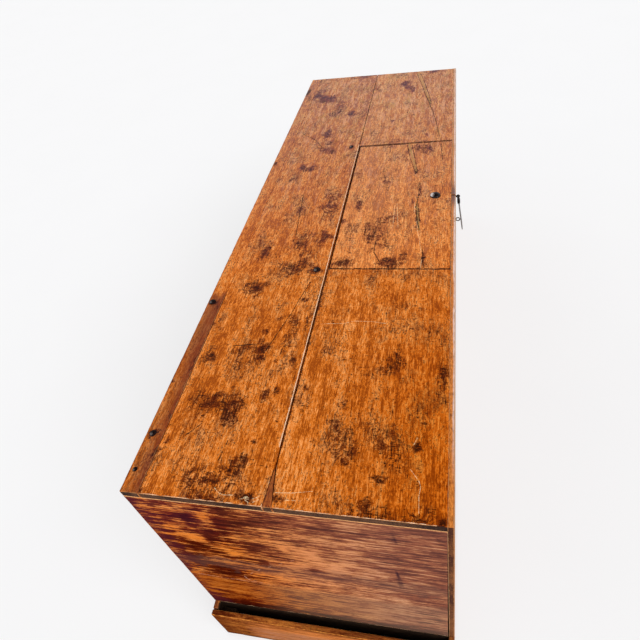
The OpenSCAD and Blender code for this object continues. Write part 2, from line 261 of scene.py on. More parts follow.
def worn_and_highlit_arris(tree, place, colour, dirt_tone, pale, rub, reach_out=-1.1):
    """Dirt lies beside the arrises, which are pale, partly rubbed and partly a painted highlight,
    both in broken lengths: the piece's mark arris is the distance to the nearest one in millimetres."""
    arris = put(tree, "Attribute", out=2, attribute_name="arris")
    at = put(tree, "Mapping", {0: place, 3: (70, 70, 70)})
    broken = put(tree, "TexNoise", {0: at, "Scale": 1.0, "Detail": 4.0, "Roughness": 0.7})
    reach = put(tree, "Math", {0: broken, 1: 14.0, 2: -4.6}, operation="MULTIPLY_ADD")
    dirt = put(tree, "Math", {0: reach, 1: arris}, operation="SUBTRACT")
    dirt = put(tree, "MapRange", {0: dirt, 1: 0.0, 2: 3.0, 4: 0.55})
    colour = put(tree, "Mix", {0: dirt, 6: colour, 7: dirt_tone}, out=2, data_type="RGBA")
    # Pale arrises: partly rubbing, partly a painted highlight
    reach = put(tree, "Math", {0: broken, 1: 4.2, 2: reach_out}, operation="MULTIPLY_ADD")
    rubbed_and_highlit = put(tree, "Math", {0: reach, 1: arris}, operation="SUBTRACT")
    rubbed_and_highlit = put(tree, "MapRange", {0: rubbed_and_highlit, 1: 0.0, 2: 0.6, 4: rub})
    return put(tree, "Mix", {0: rubbed_and_highlit, 6: colour, 7: pale}, out=2, data_type="RGBA")


def end_grain(name, dark, body, pale, rub):
    """Sawn ends of boards: dry end grain in rings 3 mm apart, dark with old dirt, matt."""
    made, tree, output = new_material(name)
    place = put(tree, "TexCoord", out=3)
    ring = put(tree, "TexNoise", {0: place, "Scale": 330.0, "Detail": 3.0, "Roughness": 0.6})
    cloud = put(tree, "TexNoise", {0: place, "Scale": 22.0, "Detail": 4.0})
    tone = put(tree, "Math", {0: cloud, 1: 1.3, 2: ring}, operation="MULTIPLY_ADD")
    tone = put(tree, "MapRange", {0: tone, 1: 0.9, 2: 1.45})
    colour = put(tree, "ValToRGB", {0: tone}, stops=[(0.2, dark), (0.9, body)])
    colour = worn_and_highlit_arris(tree, place, colour, dark, pale, rub, -0.7)
    bump = put(tree, "Bump", {"Strength": 0.5, "Distance": 0.0005, "Height": ring})
    shader = put(tree, "BsdfPrincipled", {
        "Base Color": colour, "Roughness": 0.85, "Normal": bump, "Specular IOR Level": 0.1})
    tree.links.new(shader, output.inputs[0])
    return made


def wood(name, run, dark, body, light, smoke, fleck, mottle=0.6, speckle=0.5, haze=0.5,
         streak=0.2, rough=0.34, shine=0.5, pale="#E3A870", rub=0.5, worn=-1.1, cloudy=0.25,
         extra=None):
    """Old softwood under many coats of wax and stain. The wax is mottled, fine fibres run with
    the grain, growth bands turn it lighter and darker, smoke and dark pores lie on it in
    clouds, and the arrises are pale, partly rubbed and partly a painted highlight."""
    made, tree, output = new_material(name)
    place = put(tree, "TexCoord", out=3)

    # Fibres 2 mm wide and 26 mm long, pores 3 mm wide and 6 mm long, mottle 5 mm by 15 mm
    at = put(tree, "Mapping", {0: place, 3: stretch(run, 26, 2)})
    fibre = put(tree, "TexNoise", {0: at, "Scale": 1.0, "Detail": 3.0, "Roughness": 0.6})
    at = put(tree, "Mapping", {0: place, 3: stretch(run, 6, 3)})
    pore = put(tree, "TexNoise", {0: at, "Scale": 1.0, "Detail": 2.5, "Roughness": 0.7})
    at = put(tree, "Mapping", {0: place, 1: (0.7, 0.2, 0.5), 3: stretch(run, 15, 5)})
    wax = put(tree, "TexNoise", {0: at, "Scale": 1.0, "Detail": 5.0, "Roughness": 0.8, "Distortion": 0.5})
    # Growth bands 16 mm wide, wandering over 300 mm
    at = put(tree, "Mapping", {0: place, 3: stretch(run, 300, 16)})
    band = put(tree, "TexNoise", {0: at, "Scale": 1.0, "Detail": 4.0, "Distortion": 0.4})
    # Clouds of smoke 60 mm across, and the clouds that gather the pores
    at = put(tree, "Mapping", {0: place, 3: stretch(run, 80, 55)})
    cloud = put(tree, "TexNoise", {0: at, "Scale": 1.0, "Detail": 6.0, "Roughness": 0.68})
    at = put(tree, "Mapping", {0: place, 1: (0.37, 0.11, 0.23), 3: stretch(run, 110, 75)})
    herd = put(tree, "TexNoise", {0: at, "Scale": 1.0, "Detail": 4.0, "Roughness": 0.6})

    tone = put(tree, "Math", {0: fibre, 1: 0.4}, operation="MULTIPLY")
    tone = put(tree, "Math", {0: band, 1: streak, 2: tone}, operation="MULTIPLY_ADD")
    tone = put(tree, "Math", {0: wax, 1: mottle, 2: tone}, operation="MULTIPLY_ADD")
    tone = put(tree, "Math", {0: pore, 1: 0.35, 2: tone}, operation="MULTIPLY_ADD")
    tone = put(tree, "Math", {0: cloud, 1: cloudy, 2: tone}, operation="MULTIPLY_ADD")
    tone = put(tree, "Math", {0: herd, 1: cloudy / 2, 2: tone}, operation="MULTIPLY_ADD")
    middle = 0.5 * (0.75 + 1.5 * cloudy + streak + mottle)
    tone = put(tree, "MapRange", {0: tone, 1: middle - 0.1, 2: middle + 0.1})
    colour = put(tree, "ValToRGB", {0: tone}, stops=[(0.05, dark), (1.0, light), (0.5, body)])

    veil = put(tree, "MapRange", {0: cloud, 1: 0.5, 2: 0.66, 4: haze})
    colour = put(tree, "Mix", {0: veil, 6: colour, 7: smoke}, out=2, data_type="RGBA")
    dots = put(tree, "Math", {0: herd, 1: 0.45, 2: pore}, operation="MULTIPLY_ADD")
    dots = put(tree, "Math", {0: cloud, 1: 0.3, 2: dots}, operation="MULTIPLY_ADD")
    dots = put(tree, "MapRange", {0: dots, 1: 0.94, 2: 1.01, 4: speckle})
    colour = put(tree, "Mix", {0: dots, 6: colour, 7: fleck}, out=2, data_type="RGBA")
    if extra:
        colour = extra(tree, place, colour, pore, cloud)
    colour = worn_and_highlit_arris(tree, place, colour, fleck, pale, rub, worn)

    gloss = put(tree, "MapRange", {0: cloud, 1: 0.3, 2: 0.7, 3: rough, 4: rough + 0.16})
    height = put(tree, "Math", {0: fibre, 1: 0.6}, operation="MULTIPLY")
    height = put(tree, "Math", {0: pore, 1: 0.5, 2: height}, operation="MULTIPLY_ADD")
    height = put(tree, "Math", {0: wax, 1: 0.8, 2: height}, operation="MULTIPLY_ADD")
    bump = put(tree, "Bump", {"Strength": 0.4, "Distance": 0.0005, "Height": height})
    shader = put(tree, "BsdfPrincipled", {
        "Base Color": colour, "Roughness": gloss, "Normal": bump, "IOR": 1.5,
        "Specular IOR Level": shine})
    tree.links.new(shader, output.inputs[0])
    return made


def line_mark(tree, key, ragged, width, tone, colour, amount):
    """Draws the lines of a pair of marks made by to_lines: the width in millimetres is
    uneven by the ragged noise, and breaks where that is low."""
    across = put(tree, "Attribute", out=2, attribute_name=key)
    across = put(tree, "Math", {0: across}, operation="ABSOLUTE")
    close = put(tree, "Attribute", out=2, attribute_name=key + "_near")
    reach = put(tree, "Math", {0: ragged, 1: 4.0 * width, 2: -1.3 * width}, operation="MULTIPLY_ADD")
    drawn = put(tree, "Math", {0: reach, 1: across}, operation="SUBTRACT")
    drawn = put(tree, "MapRange", {0: drawn, 1: 0.0, 2: 0.6, 4: amount})
    close = put(tree, "MapRange", {0: close, 1: 0.35, 2: 0.6})
    drawn = put(tree, "Math", {0: drawn, 1: close}, operation="MULTIPLY")
    return put(tree, "Mix", {0: drawn, 6: colour, 7: tone}, out=2, data_type="RGBA")


def painted_far_sheen(tree, x, colour):
    """A painted sheen towards the right end: the wood less red and a little milky. Returns the colour
    and the share, 0 to 1, of the painted sheen."""
    far = put(tree, "MapRange", {0: x, 1: SHEEN_START, 2: SHEEN_END, 3: 0.0, 4: 1.0})
    colour = put(tree, "Mix", {0: far, 6: colour, 7: (0.78, 1.0, 1.0, 1.0)}, out=2,
                 data_type="RGBA", blend_type="MULTIPLY")
    colour = put(tree, "Mix", {0: far, 6: colour, 7: (0.02, 0.03, 0.06, 1.0)}, out=2,
                 data_type="RGBA", blend_type="ADD")
    return colour, far


def top_marks(tree, place, colour, pore, cloud):
    """What the top has suffered, from the marks that its boards carry. Smoke is soft dirt from
    0 to 1: it gathers short dark cracks of the varnish, 3 mm wide and wandering every way, and
    soaks the wood. Spots are spilled stains with ragged edges, seams, cracks and scuffs
    millimetres to the nearest grimy joint, open crack and pale scratch. Towards the near front
    the wax is golden; towards the right end a painted sheen pales it, and stains there turn a dusky purple
    under that painted sheen."""
    x, y = [put(tree, "SeparateXYZ", {0: place}, out=k) for k in (0, 1)]
    near = put(tree, "MapRange", {0: x, 1: -0.2, 2: -0.6, 3: 0.0, 4: 1.0})
    gold = put(tree, "MapRange", {0: y, 1: -0.04, 2: -0.2, 3: 0.0, 4: 1.0})
    gold = put(tree, "Math", {0: near, 1: gold}, operation="MULTIPLY")
    colour = put(tree, "Mix", {0: gold, 6: colour, 7: (0.84, 0.7, 0.35, 1.0)}, out=2,
                 data_type="RGBA", blend_type="MULTIPLY")
    colour, far = painted_far_sheen(tree, x, colour)
    # Painted sheen: a board's share of it makes the board lighter, less towards its front edge
    pale = put(tree, "Attribute", out=2, attribute_name="painted_sheen")
    colour = put(tree, "Mix", {0: pale, 6: colour, 7: (0.14, 0.085, 0.04, 1.0)}, out=2, data_type="RGBA",
                 blend_type="ADD")
    # Stains are a dusky purple where the sheen is painted
    stain = put(tree, "Mix", {0: far, 6: "#5C1E04", 7: "#743C40"}, out=2, data_type="RGBA")
    # Olive and tan patches 70 mm long on the far wood, under its painted sheen
    at = put(tree, "Mapping", {0: place, 1: (0.4, 0.9, 0.0), 3: stretch("x", 70, 24)})
    olive = put(tree, "TexNoise", {0: at, "Scale": 1.0, "Detail": 5.0, "Roughness": 0.65})
    olive = put(tree, "MapRange", {0: olive, 1: 0.54, 2: 0.66, 4: 0.35})
    olive = put(tree, "Math", {0: olive, 1: far}, operation="MULTIPLY")
    colour = put(tree, "Mix", {0: olive, 6: colour, 7: "#9C8048"}, out=2, data_type="RGBA")
    at = put(tree, "Mapping", {0: place, 3: stretch("x", 55, 10)})
    flush = put(tree, "TexNoise", {0: at, "Scale": 1.0, "Detail": 4.0, "Roughness": 0.65, "Distortion": 0.6})
    for start, end, tone in ((0.54, 0.62, "#A2522C"), (0.47, 0.4, "#D89C78")):
        amount = put(tree, "MapRange", {0: flush, 1: start, 2: end, 3: 0.0, 4: 0.6})
        amount = put(tree, "Math", {0: amount, 1: far}, operation="MULTIPLY")
        colour = put(tree, "Mix", {0: amount, 6: colour, 7: tone}, out=2, data_type="RGBA")

    at = put(tree, "Mapping", {0: place, 3: (330, 210, 210)})
    ragged = put(tree, "TexNoise", {0: at, "Scale": 1.0, "Detail": 5.0, "Roughness": 0.75})
    # Dark flecks of old varnish, 13 mm long and 5 mm wide
    at = put(tree, "Mapping", {0: place, 3: stretch("x", 13, 5)})
    fleck = put(tree, "TexNoise", {0: at, "Scale": 1.0, "Detail": 3.0, "Roughness": 0.65, "Distortion": 0.3})
    fleck = put(tree, "Math", {0: cloud, 1: 0.5, 2: fleck}, operation="MULTIPLY_ADD")
    fleck = put(tree, "MapRange", {0: fleck, 1: 0.86, 2: 0.96, 4: 0.7})
    colour = put(tree, "Mix", {0: fleck, 6: colour, 7: stain}, out=2, data_type="RGBA")
    smoke = put(tree, "Attribute", out=2, attribute_name="smoke")
    soot = put(tree, "Math", {0: smoke, 1: 0.37, 2: cloud}, operation="MULTIPLY_ADD")
    at = put(tree, "Mapping", {0: place, 3: stretch("x", 40, 28)})
    craze = put(tree, "TexNoise", {0: at, "Scale": 1.0, "Detail": 4.0, "Roughness": 0.7, "Distortion": 0.8})
    craze = put(tree, "Math", {0: craze, 1: 0.5}, operation="SUBTRACT")
    craze = put(tree, "Math", {0: craze}, operation="ABSOLUTE")
    craze = put(tree, "MapRange", {0: craze, 1: 0.05, 2: 0.012, 3: 0.0, 4: 1.0})
    gathered = put(tree, "MapRange", {0: soot, 1: 0.48, 2: 0.66, 4: 0.85})
    craze = put(tree, "Math", {0: craze, 1: gathered}, operation="MULTIPLY")
    colour = put(tree, "Mix", {0: craze, 6: colour, 7: stain}, out=2, data_type="RGBA")
    soak = put(tree, "Math", {0: ragged, 1: 1.2, 2: soot}, operation="MULTIPLY_ADD")
    soak = put(tree, "Math", {0: pore, 1: 0.5, 2: soak}, operation="MULTIPLY_ADD")
    soak = put(tree, "MapRange", {0: soak, 1: 1.5, 2: 1.9, 4: 0.55})
    colour = put(tree, "Mix", {0: soak, 6: colour, 7: stain}, out=2, data_type="RGBA")
    # Fine strokes of dirt, 14 mm long across the grain and 24 mm long with it, thick in the smoke
    strokes = []
    for run, along, across in (("y", 14, 2.4), ("x", 24, 2.8)):
        at = put(tree, "Mapping", {0: place, 3: stretch(run, along, across)})
        strokes.append(put(tree, "TexNoise", {0: at, "Scale": 1.0, "Detail": 2.5, "Roughness": 0.6,
                                              "Distortion": 1.1}))
    stroke = put(tree, "Math", {0: strokes[0], 1: strokes[1]}, operation="MAXIMUM")
    stroke = put(tree, "Math", {0: soot, 1: 0.55, 2: stroke}, operation="MULTIPLY_ADD")
    stroke = put(tree, "MapRange", {0: stroke, 1: 0.95, 2: 1.05, 4: 0.8})
    colour = put(tree, "Mix", {0: stroke, 6: colour, 7: stain}, out=2, data_type="RGBA")
    black = put(tree, "Math", {0: strokes[0], 1: strokes[1]}, operation="ADD")
    black = put(tree, "Math", {0: soot, 1: 0.5, 2: black}, operation="MULTIPLY_ADD")
    black = put(tree, "MapRange", {0: black, 1: 1.38, 2: 1.5, 4: 0.8})
    colour = put(tree, "Mix", {0: black, 6: colour, 7: "#2A0C04"}, out=2, data_type="RGBA")

    spots = put(tree, "Attribute", out=2, attribute_name="spots")
    chance = put(tree, "Math", {0: ragged, 1: 7.0, 2: -2.4}, operation="MULTIPLY_ADD")
    spot = put(tree, "Math", {0: spots, 1: chance}, operation="MULTIPLY")
    soak = put(tree, "MapRange", {0: spot, 1: 0.1, 2: 0.6, 4: 0.8})
    colour = put(tree, "Mix", {0: soak, 6: colour, 7: stain}, out=2, data_type="RGBA")
    # The hearts of the stains turn purple-grey under the painted sheen
    core = put(tree, "Mix", {0: far, 6: "#200C06", 7: "#342430"}, out=2, data_type="RGBA")
    heart = put(tree, "MapRange", {0: spot, 1: 0.6, 2: 1.1, 4: 0.85})
    colour = put(tree, "Mix", {0: heart, 6: colour, 7: core}, out=2, data_type="RGBA")
    colour = line_mark(tree, "seams", ragged, 3.0, "#34120A", colour, 0.88)
    colour = line_mark(tree, "bands", ragged, 4.2, "#A8814C", colour, 0.75)
    colour = line_mark(tree, "cracks", ragged, 1.9, "#2E140A", colour, 0.9)
    return line_mark(tree, "scuffs", ragged, 0.8, "#FCDCAC", colour, 0.75)


def strip_marks(tree, place, colour, pore, cloud):
    """Old polish on the near end of the back strip: brown in streaks along its outer half and
    purple-brown along its inner half, over its whole width further on. The far part has the
    same painted sheen as the top."""
    x, y = [put(tree, "SeparateXYZ", {0: place}, out=k) for k in (0, 1)]
    colour, _ = painted_far_sheen(tree, x, colour)
    at = put(tree, "Mapping", {0: place, 3: stretch("x", 60, 5)})
    streak = put(tree, "TexNoise", {0: at, "Scale": 1.0, "Detail": 5.0, "Roughness": 0.7})
    near = put(tree, "Math", {0: cloud, 1: 0.12, 2: x}, operation="MULTIPLY_ADD")
    near = put(tree, "MapRange", {0: near, 1: -0.28, 2: -0.3, 3: 0.0, 4: 1.0})
    brown = put(tree, "MapRange", {0: streak, 1: 0.42, 2: 0.6, 4: 0.75})
    brown = put(tree, "Math", {0: brown, 1: near}, operation="MULTIPLY")
    colour = put(tree, "Mix", {0: brown, 6: colour, 7: "#6C2E0C"}, out=2, data_type="RGBA")
    wander = put(tree, "Math", {0: streak, 1: 0.1, 2: y}, operation="MULTIPLY_ADD")
    outward = put(tree, "MapRange", {0: x, 1: -0.6, 2: -0.5, 3: 0.0, 4: 0.014})
    wander = put(tree, "Math", {0: wander, 1: outward}, operation="SUBTRACT")
    inside = put(tree, "MapRange", {0: wander, 1: 0.306, 2: 0.284, 3: 0.0, 4: 0.7})
    amount = put(tree, "Math", {0: inside, 1: near}, operation="MULTIPLY")
    colour = put(tree, "Mix", {0: amount, 6: colour, 7: "#6A2C1E"}, out=2, data_type="RGBA")
    spots = put(tree, "Attribute", out=2, attribute_name="spots")
    spot = put(tree, "Math", {0: pore, 1: 1.6, 2: spots}, operation="MULTIPLY_ADD")
    spot = put(tree, "MapRange", {0: spot, 1: 1.15, 2: 1.6, 4: 0.9})
    return put(tree, "Mix", {0: spot, 6: colour, 7: "#2C1014"}, out=2, data_type="RGBA")


def panel_marks(tree, place, colour, pore, cloud):
    """Dark stain on the end panel: heavy red-brown blotches and bright worn patches towards the
    back, purple smears towards the front, all greyer there under a painted sheen, plainer brown
    below a line 300 mm up and darker at the foot. The panel's mark smoke, -1 to 1, makes it
    darker or brighter; spots are its dents and scuffs its pale lines."""
    y, z = [put(tree, "SeparateXYZ", {0: place}, out=k) for k in (1, 2)]
    front = put(tree, "MapRange", {0: y, 1: 0.12, 2: -0.16, 3: 0.0, 4: 1.0})
    # A painted grey sheen towards the front
    painted_front_sheen = put(tree, "Math", {0: front, 1: 0.7}, operation="MULTIPLY")
    colour = put(tree, "Mix", {0: painted_front_sheen, 6: colour, 7: "#A67658"}, out=2, data_type="RGBA")
    low = put(tree, "Math", {0: cloud, 1: 0.06, 2: z}, operation="MULTIPLY_ADD")
    low = put(tree, "MapRange", {0: low, 1: 0.32, 2: 0.345, 3: 1.0, 4: 0.0})
    # Below the line, the front is greyer by the same painted sheen
    plain = put(tree, "Mix", {0: front, 6: (0.6, 0.48, 0.3, 1.0), 7: (0.86, 0.88, 0.96, 1.0)}, out=2,
                data_type="RGBA")
    colour = put(tree, "Mix", {0: low, 6: colour, 7: plain}, out=2, data_type="RGBA", blend_type="MULTIPLY")
    # Streaks 3 mm wide, smears 10 mm wide, and the patches 30 mm wide that gather them
    at = put(tree, "Mapping", {0: place, 3: stretch("y", 65, 3)})
    thin = put(tree, "TexNoise", {0: at, "Scale": 1.0, "Detail": 3.0, "Roughness": 0.55, "Distortion": 0.2})
    at = put(tree, "Mapping", {0: place, 3: stretch("y", 36, 9)})
    smear = put(tree, "TexNoise", {0: at, "Scale": 1.0, "Detail": 5.0, "Roughness": 0.65, "Distortion": 0.5})
    at = put(tree, "Mapping", {0: place, 3: stretch("y", 38, 26)})
    patch = put(tree, "TexNoise", {0: at, "Scale": 1.0, "Detail": 5.0, "Roughness": 0.7})
    smear = put(tree, "Math", {0: thin, 1: 1.8, 2: smear}, operation="MULTIPLY_ADD")
    smear = put(tree, "Math", {0: patch, 1: 0.9, 2: smear}, operation="MULTIPLY_ADD")
    smoke = put(tree, "Attribute", out=2, attribute_name="smoke")
    smear = put(tree, "Math", {0: smoke, 1: 0.34, 2: smear}, operation="MULTIPLY_ADD")
    smear = put(tree, "Math", {0: smear, 1: 0.4}, operation="SUBTRACT")
    # Zones with more of the stain, or with less where the amount is below 0, in metres
    for at, start, end, amount in ((y, 0.17, 0.12, -0.04), (z, 0.32, 0.3, -0.06), (y, -0.12, -0.22, 0.16),
                                   (z, 0.55, 0.6, 0.05), (z, 0.18, 0.15, 0.4)):
        more = put(tree, "MapRange", {0: at, 1: start, 2: end, 3: 0.0, 4: amount})
        smear = put(tree, "Math", {0: smear, 1: more}, operation="ADD")
    # Towards the front the stains turn greyer under the painted sheen
    stain = put(tree, "Mix", {0: front, 6: "#561204", 7: "#824838"}, out=2, data_type="RGBA")
    deep = put(tree, "Mix", {0: front, 6: "#2C0602", 7: "#50302C"}, out=2, data_type="RGBA")
    strong = put(tree, "Math", {0: front, 1: -0.08, 2: 0.92}, operation="MULTIPLY_ADD")
    amount = put(tree, "MapRange", {0: smear, 1: 1.34, 2: 1.46, 4: strong})
    colour = put(tree, "Mix", {0: amount, 6: colour, 7: stain}, out=2, data_type="RGBA")
    amount = put(tree, "MapRange", {0: smear, 1: 1.52, 2: 1.76, 4: 0.85})
    colour = put(tree, "Mix", {0: amount, 6: colour, 7: deep}, out=2, data_type="RGBA")
    bright = put(tree, "MapRange", {0: smear, 1: 1.34, 2: 1.12, 3: 0.0, 4: 0.65})
    high = put(tree, "Math", {0: low, 1: -0.75, 2: 1.0}, operation="MULTIPLY_ADD")
    bright = put(tree, "Math", {0: bright, 1: high}, operation="MULTIPLY")
    # The bright patches turn greyer towards the front under the painted sheen
    glow = put(tree, "Mix", {0: front, 6: "#E07E28", 7: "#D49C78"}, out=2, data_type="RGBA")
    colour = put(tree, "Mix", {0: bright, 6: colour, 7: glow}, out=2, data_type="RGBA")
    # Violet in the upper back corner, and a paler, greyer foot away from the back
    corner = put(tree, "MapRange", {0: z, 1: 0.48, 2: 0.58, 4: 1.0})
    rear = put(tree, "MapRange", {0: y, 1: 0.08, 2: 0.16, 4: 1.0})
    corner = put(tree, "Math", {0: corner, 1: rear}, operation="MULTIPLY")
    away = put(tree, "MapRange", {0: y, 1: 0.16, 2: 0.05, 3: 0.0, 4: 1.0})
    away = put(tree, "Math", {0: away, 1: low}, operation="MULTIPLY")
    for amount, tone in ((corner, (0.005, 0.003, 0.009, 1.0)), (away, (0.024, 0.032, 0.02, 1.0))):
        colour = put(tree, "Mix", {0: amount, 6: colour, 7: tone}, out=2, data_type="RGBA", blend_type="ADD")
    # A greyer band, 360 mm to 415 mm up
    grey = put(tree, "Math", {0: patch, 1: 0.12, 2: z}, operation="MULTIPLY_ADD")
    grey = put(tree, "Math", {0: grey, 1: 0.447}, operation="SUBTRACT")
    grey = put(tree, "Math", {0: grey}, operation="ABSOLUTE")
    grey = put(tree, "MapRange", {0: grey, 1: 0.034, 2: 0.018, 3: 0.0, 4: 0.3})
    colour = put(tree, "Mix", {0: grey, 6: colour, 7: "#6C5044"}, out=2, data_type="RGBA")
    # Old purple varnish left along the panel's back edge
    back = put(tree, "Math", {0: smear, 1: 0.06, 2: y}, operation="MULTIPLY_ADD")
    back = put(tree, "MapRange", {0: back, 1: 0.315, 2: 0.345, 3: 0.0, 4: 0.6})
    colour = put(tree, "Mix", {0: back, 6: colour, 7: "#4E1E26"}, out=2, data_type="RGBA")
    spots = put(tree, "Attribute", out=2, attribute_name="spots")
    spot = put(tree, "MapRange", {0: spots, 1: 0.1, 2: 0.9, 4: 0.9})
    colour = put(tree, "Mix", {0: spot, 6: colour, 7: "#301E28"}, out=2, data_type="RGBA")
    return line_mark(tree, "scuffs", pore, 1.5, "#CC9478", colour, 0.5)


def side_marks(tree, place, colour, pore, cloud):
    """The back board: handling has worn the polish through in long patches, dark along the grain
    between them, and scratched it upright; the board is also blacker towards the floor."""
    z = put(tree, "SeparateXYZ", {0: place}, out=2)
    at = put(tree, "Mapping", {0: place, 1: (0.3, 0.0, 0.6), 3: stretch("x", 380, 17)})
    patch = put(tree, "TexNoise", {0: at, "Scale": 1.0, "Detail": 6.0, "Roughness": 0.7, "Distortion": 0.1})
    worn = put(tree, "MapRange", {0: patch, 1: 0.53, 2: 0.65, 4: 0.42})
    colour = put(tree, "Mix", {0: worn, 6: colour, 7: "#C07E3C"}, out=2, data_type="RGBA")
    dark = put(tree, "MapRange", {0: patch, 1: 0.46, 2: 0.36, 3: 0.0, 4: 0.5})
    colour = put(tree, "Mix", {0: dark, 6: colour, 7: "#3C1608"}, out=2, data_type="RGBA")
    at = put(tree, "Mapping", {0: place, 3: stretch("z", 60, 3)})
    scratch = put(tree, "TexNoise", {0: at, "Scale": 1.0, "Detail": 2.0})
    scratch = put(tree, "Math", {0: cloud, 1: 0.8, 2: scratch}, operation="MULTIPLY_ADD")
    scratch = put(tree, "MapRange", {0: scratch, 1: 1.06, 2: 1.14, 4: 0.4})
    colour = put(tree, "Mix", {0: scratch, 6: colour, 7: "#2E1208"}, out=2, data_type="RGBA")
    foot = put(tree, "Math", {0: patch, 1: -0.2, 2: z}, operation="MULTIPLY_ADD")
    foot = put(tree, "MapRange", {0: foot, 1: 0.12, 2: 0.02, 3: 0.0, 4: 0.7})
    return put(tree, "Mix", {0: foot, 6: colour, 7: "#2E140A"}, out=2, data_type="RGBA")


def plinth_marks(tree, place, colour, pore, cloud):
    """The ends of the plinth: rubbed by wear to a bright orange in the 35 mm below the upper
    arris, greyer from there down, and darker at the foot and the back corner."""
    y, z = [put(tree, "SeparateXYZ", {0: place}, out=k) for k in (1, 2)]
    at = put(tree, "Mapping", {0: place, 3: stretch("y", 80, 4)})
    grain = put(tree, "TexNoise", {0: at, "Scale": 1.0, "Detail": 5.0, "Roughness": 0.7})
    level = put(tree, "Math", {0: grain, 1: 0.06, 2: z}, operation="MULTIPLY_ADD")
    front = put(tree, "MapRange", {0: y, 1: 0.2, 2: 0.14, 3: 0.0, 4: 0.95})
    worn = put(tree, "MapRange", {0: grain, 1: 0.42, 2: 0.58, 3: 0.1, 4: 0.95})
    front = put(tree, "Math", {0: front, 1: worn}, operation="MULTIPLY")
    upper = put(tree, "MapRange", {0: level, 1: 0.164, 2: 0.152, 3: 0.0, 4: 1.0})
    lower = put(tree, "MapRange", {0: level, 1: 0.13, 2: 0.115, 3: 0.0, 4: 1.0})
    for share, tone in ((upper, "#D68042"), (lower, "#A67255")):
        share = put(tree, "Math", {0: share, 1: front}, operation="MULTIPLY")
        colour = put(tree, "Mix", {0: share, 6: colour, 7: tone}, out=2, data_type="RGBA")
    foot = put(tree, "MapRange", {0: z, 1: 0.022, 2: 0.006, 3: 0.0, 4: 0.7})
    colour = put(tree, "Mix", {0: foot, 6: colour, 7: "#2C0E06"}, out=2, data_type="RGBA")
    corner = put(tree, "MapRange", {0: y, 1: 0.22, 2: 0.262, 3: 0.0, 4: 0.6})
    return put(tree, "Mix", {0: corner, 6: colour, 7: "#4A1808"}, out=2, data_type="RGBA")


def carved_marks(tree, place, colour, pore, cloud):
    """Dark old polish stays in the cuts of the carving, and its rims are light, partly rubbed
    and partly a painted highlight. The ground of the roundels is punched with a small round punch.
    The top of the board's lip is pale along its outer half, partly worn and partly a painted highlight,
    darker under the eye, with a painted shade along its outer edge."""
    # Light rims of the cuts: partly rubbed, partly a painted highlight
    rim = put(tree, "Attribute", out=2, attribute_name="rim")
    rim = put(tree, "Math", {0: rim, 1: cloud}, operation="MULTIPLY")
    rim = put(tree, "MapRange", {0: rim, 1: 0.2, 2: 0.45, 4: 0.75})
    colour = put(tree, "Mix", {0: rim, 6: colour, 7: "#C98A4A"}, out=2, data_type="RGBA")
    punch = put(tree, "TexVoronoi", {0: place, "Scale": 170.0, "Randomness": 0.5})
    punch = put(tree, "MapRange", {0: punch, 1: 0.34, 2: 0.24, 3: 0.25, 4: 0.85})
    ground = put(tree, "Attribute", out=2, attribute_name="ground")
    punch = put(tree, "Math", {0: punch, 1: ground}, operation="MULTIPLY")
    colour = put(tree, "Mix", {0: punch, 6: colour, 7: "#34180C"}, out=2, data_type="RGBA")
    depth = put(tree, "Attribute", out=2, attribute_name="depth")
    amount = put(tree, "Math", {0: cloud, 1: 1.6, 2: depth}, operation="MULTIPLY_ADD")
    amount = put(tree, "MapRange", {0: amount, 1: 1.6, 2: 4.4, 4: 0.85})
    colour = put(tree, "Mix", {0: amount, 6: colour, 7: "#2A120A"}, out=2, data_type="RGBA")
    facing = put(tree, "TexCoord", out=1)
    facing = put(tree, "SeparateXYZ", {0: facing}, out=2)
    facing = put(tree, "MapRange", {0: facing, 1: 0.5, 2: 0.8, 4: 0.95})
    x, y = [put(tree, "SeparateXYZ", {0: place}, out=k) for k in (0, 1)]
    off = put(tree, "Math", {0: x, 1: EYE_X / 1000}, operation="SUBTRACT")
    off = put(tree, "Math", {0: off}, operation="ABSOLUTE")
    off = put(tree, "Math", {0: pore, 1: -0.06, 2: off}, operation="MULTIPLY_ADD")
    under = put(tree, "MapRange", {0: off, 1: 0.03, 2: -0.01, 3: 0.0, 4: 0.75})
    # The waxed top turns paler towards the right end under the same painted sheen
    far = put(tree, "MapRange", {0: x, 1: SHEEN_START, 2: SHEEN_END, 3: 0.0, 4: 1.0})
    waxed = put(tree, "MapRange", {0: pore, 1: 0.3, 2: 0.7, 4: 1.0})
    waxed = put(tree, "Mix", {0: waxed, 6: "#9A4C10", 7: "#EC9240"}, out=2, data_type="RGBA")
    waxed = put(tree, "Mix", {0: far, 6: waxed, 7: "#C88A5A"}, out=2, data_type="RGBA")
    # Pale along the outer half, from a hand's breadth past the left corner on: partly bare wood and partly a
    # painted highlight
    edge = put(tree, "Math", {0: cloud, 1: 0.008, 2: y}, operation="MULTIPLY_ADD")
    pale_edge_and_highlight = put(tree, "MapRange", {0: edge, 1: -0.2545, 2: -0.2565, 3: 0.0, 4: 0.9})
    amount = put(tree, "MapRange", {0: x, 1: -0.74, 2: -0.6, 3: 0.0, 4: 1.0})
    pale_edge_and_highlight = put(tree, "Math", {0: pale_edge_and_highlight, 1: amount}, operation="MULTIPLY")
    waxed = put(tree, "Mix", {0: pale_edge_and_highlight, 6: waxed, 7: "#E8CCC0"}, out=2, data_type="RGBA")
    # Painted shade along the lip's outer edge
    outer = put(tree, "MapRange", {0: y, 1: -0.2617, 2: -0.2632, 3: 0.0, 4: 0.8})
    dark = put(tree, "Math", {0: under, 1: outer}, operation="MAXIMUM")
    waxed = put(tree, "Mix", {0: dark, 6: waxed, 7: "#4A3840"}, out=2, data_type="RGBA")
    return put(tree, "Mix", {0: facing, 6: colour, 7: waxed}, out=2, data_type="RGBA")


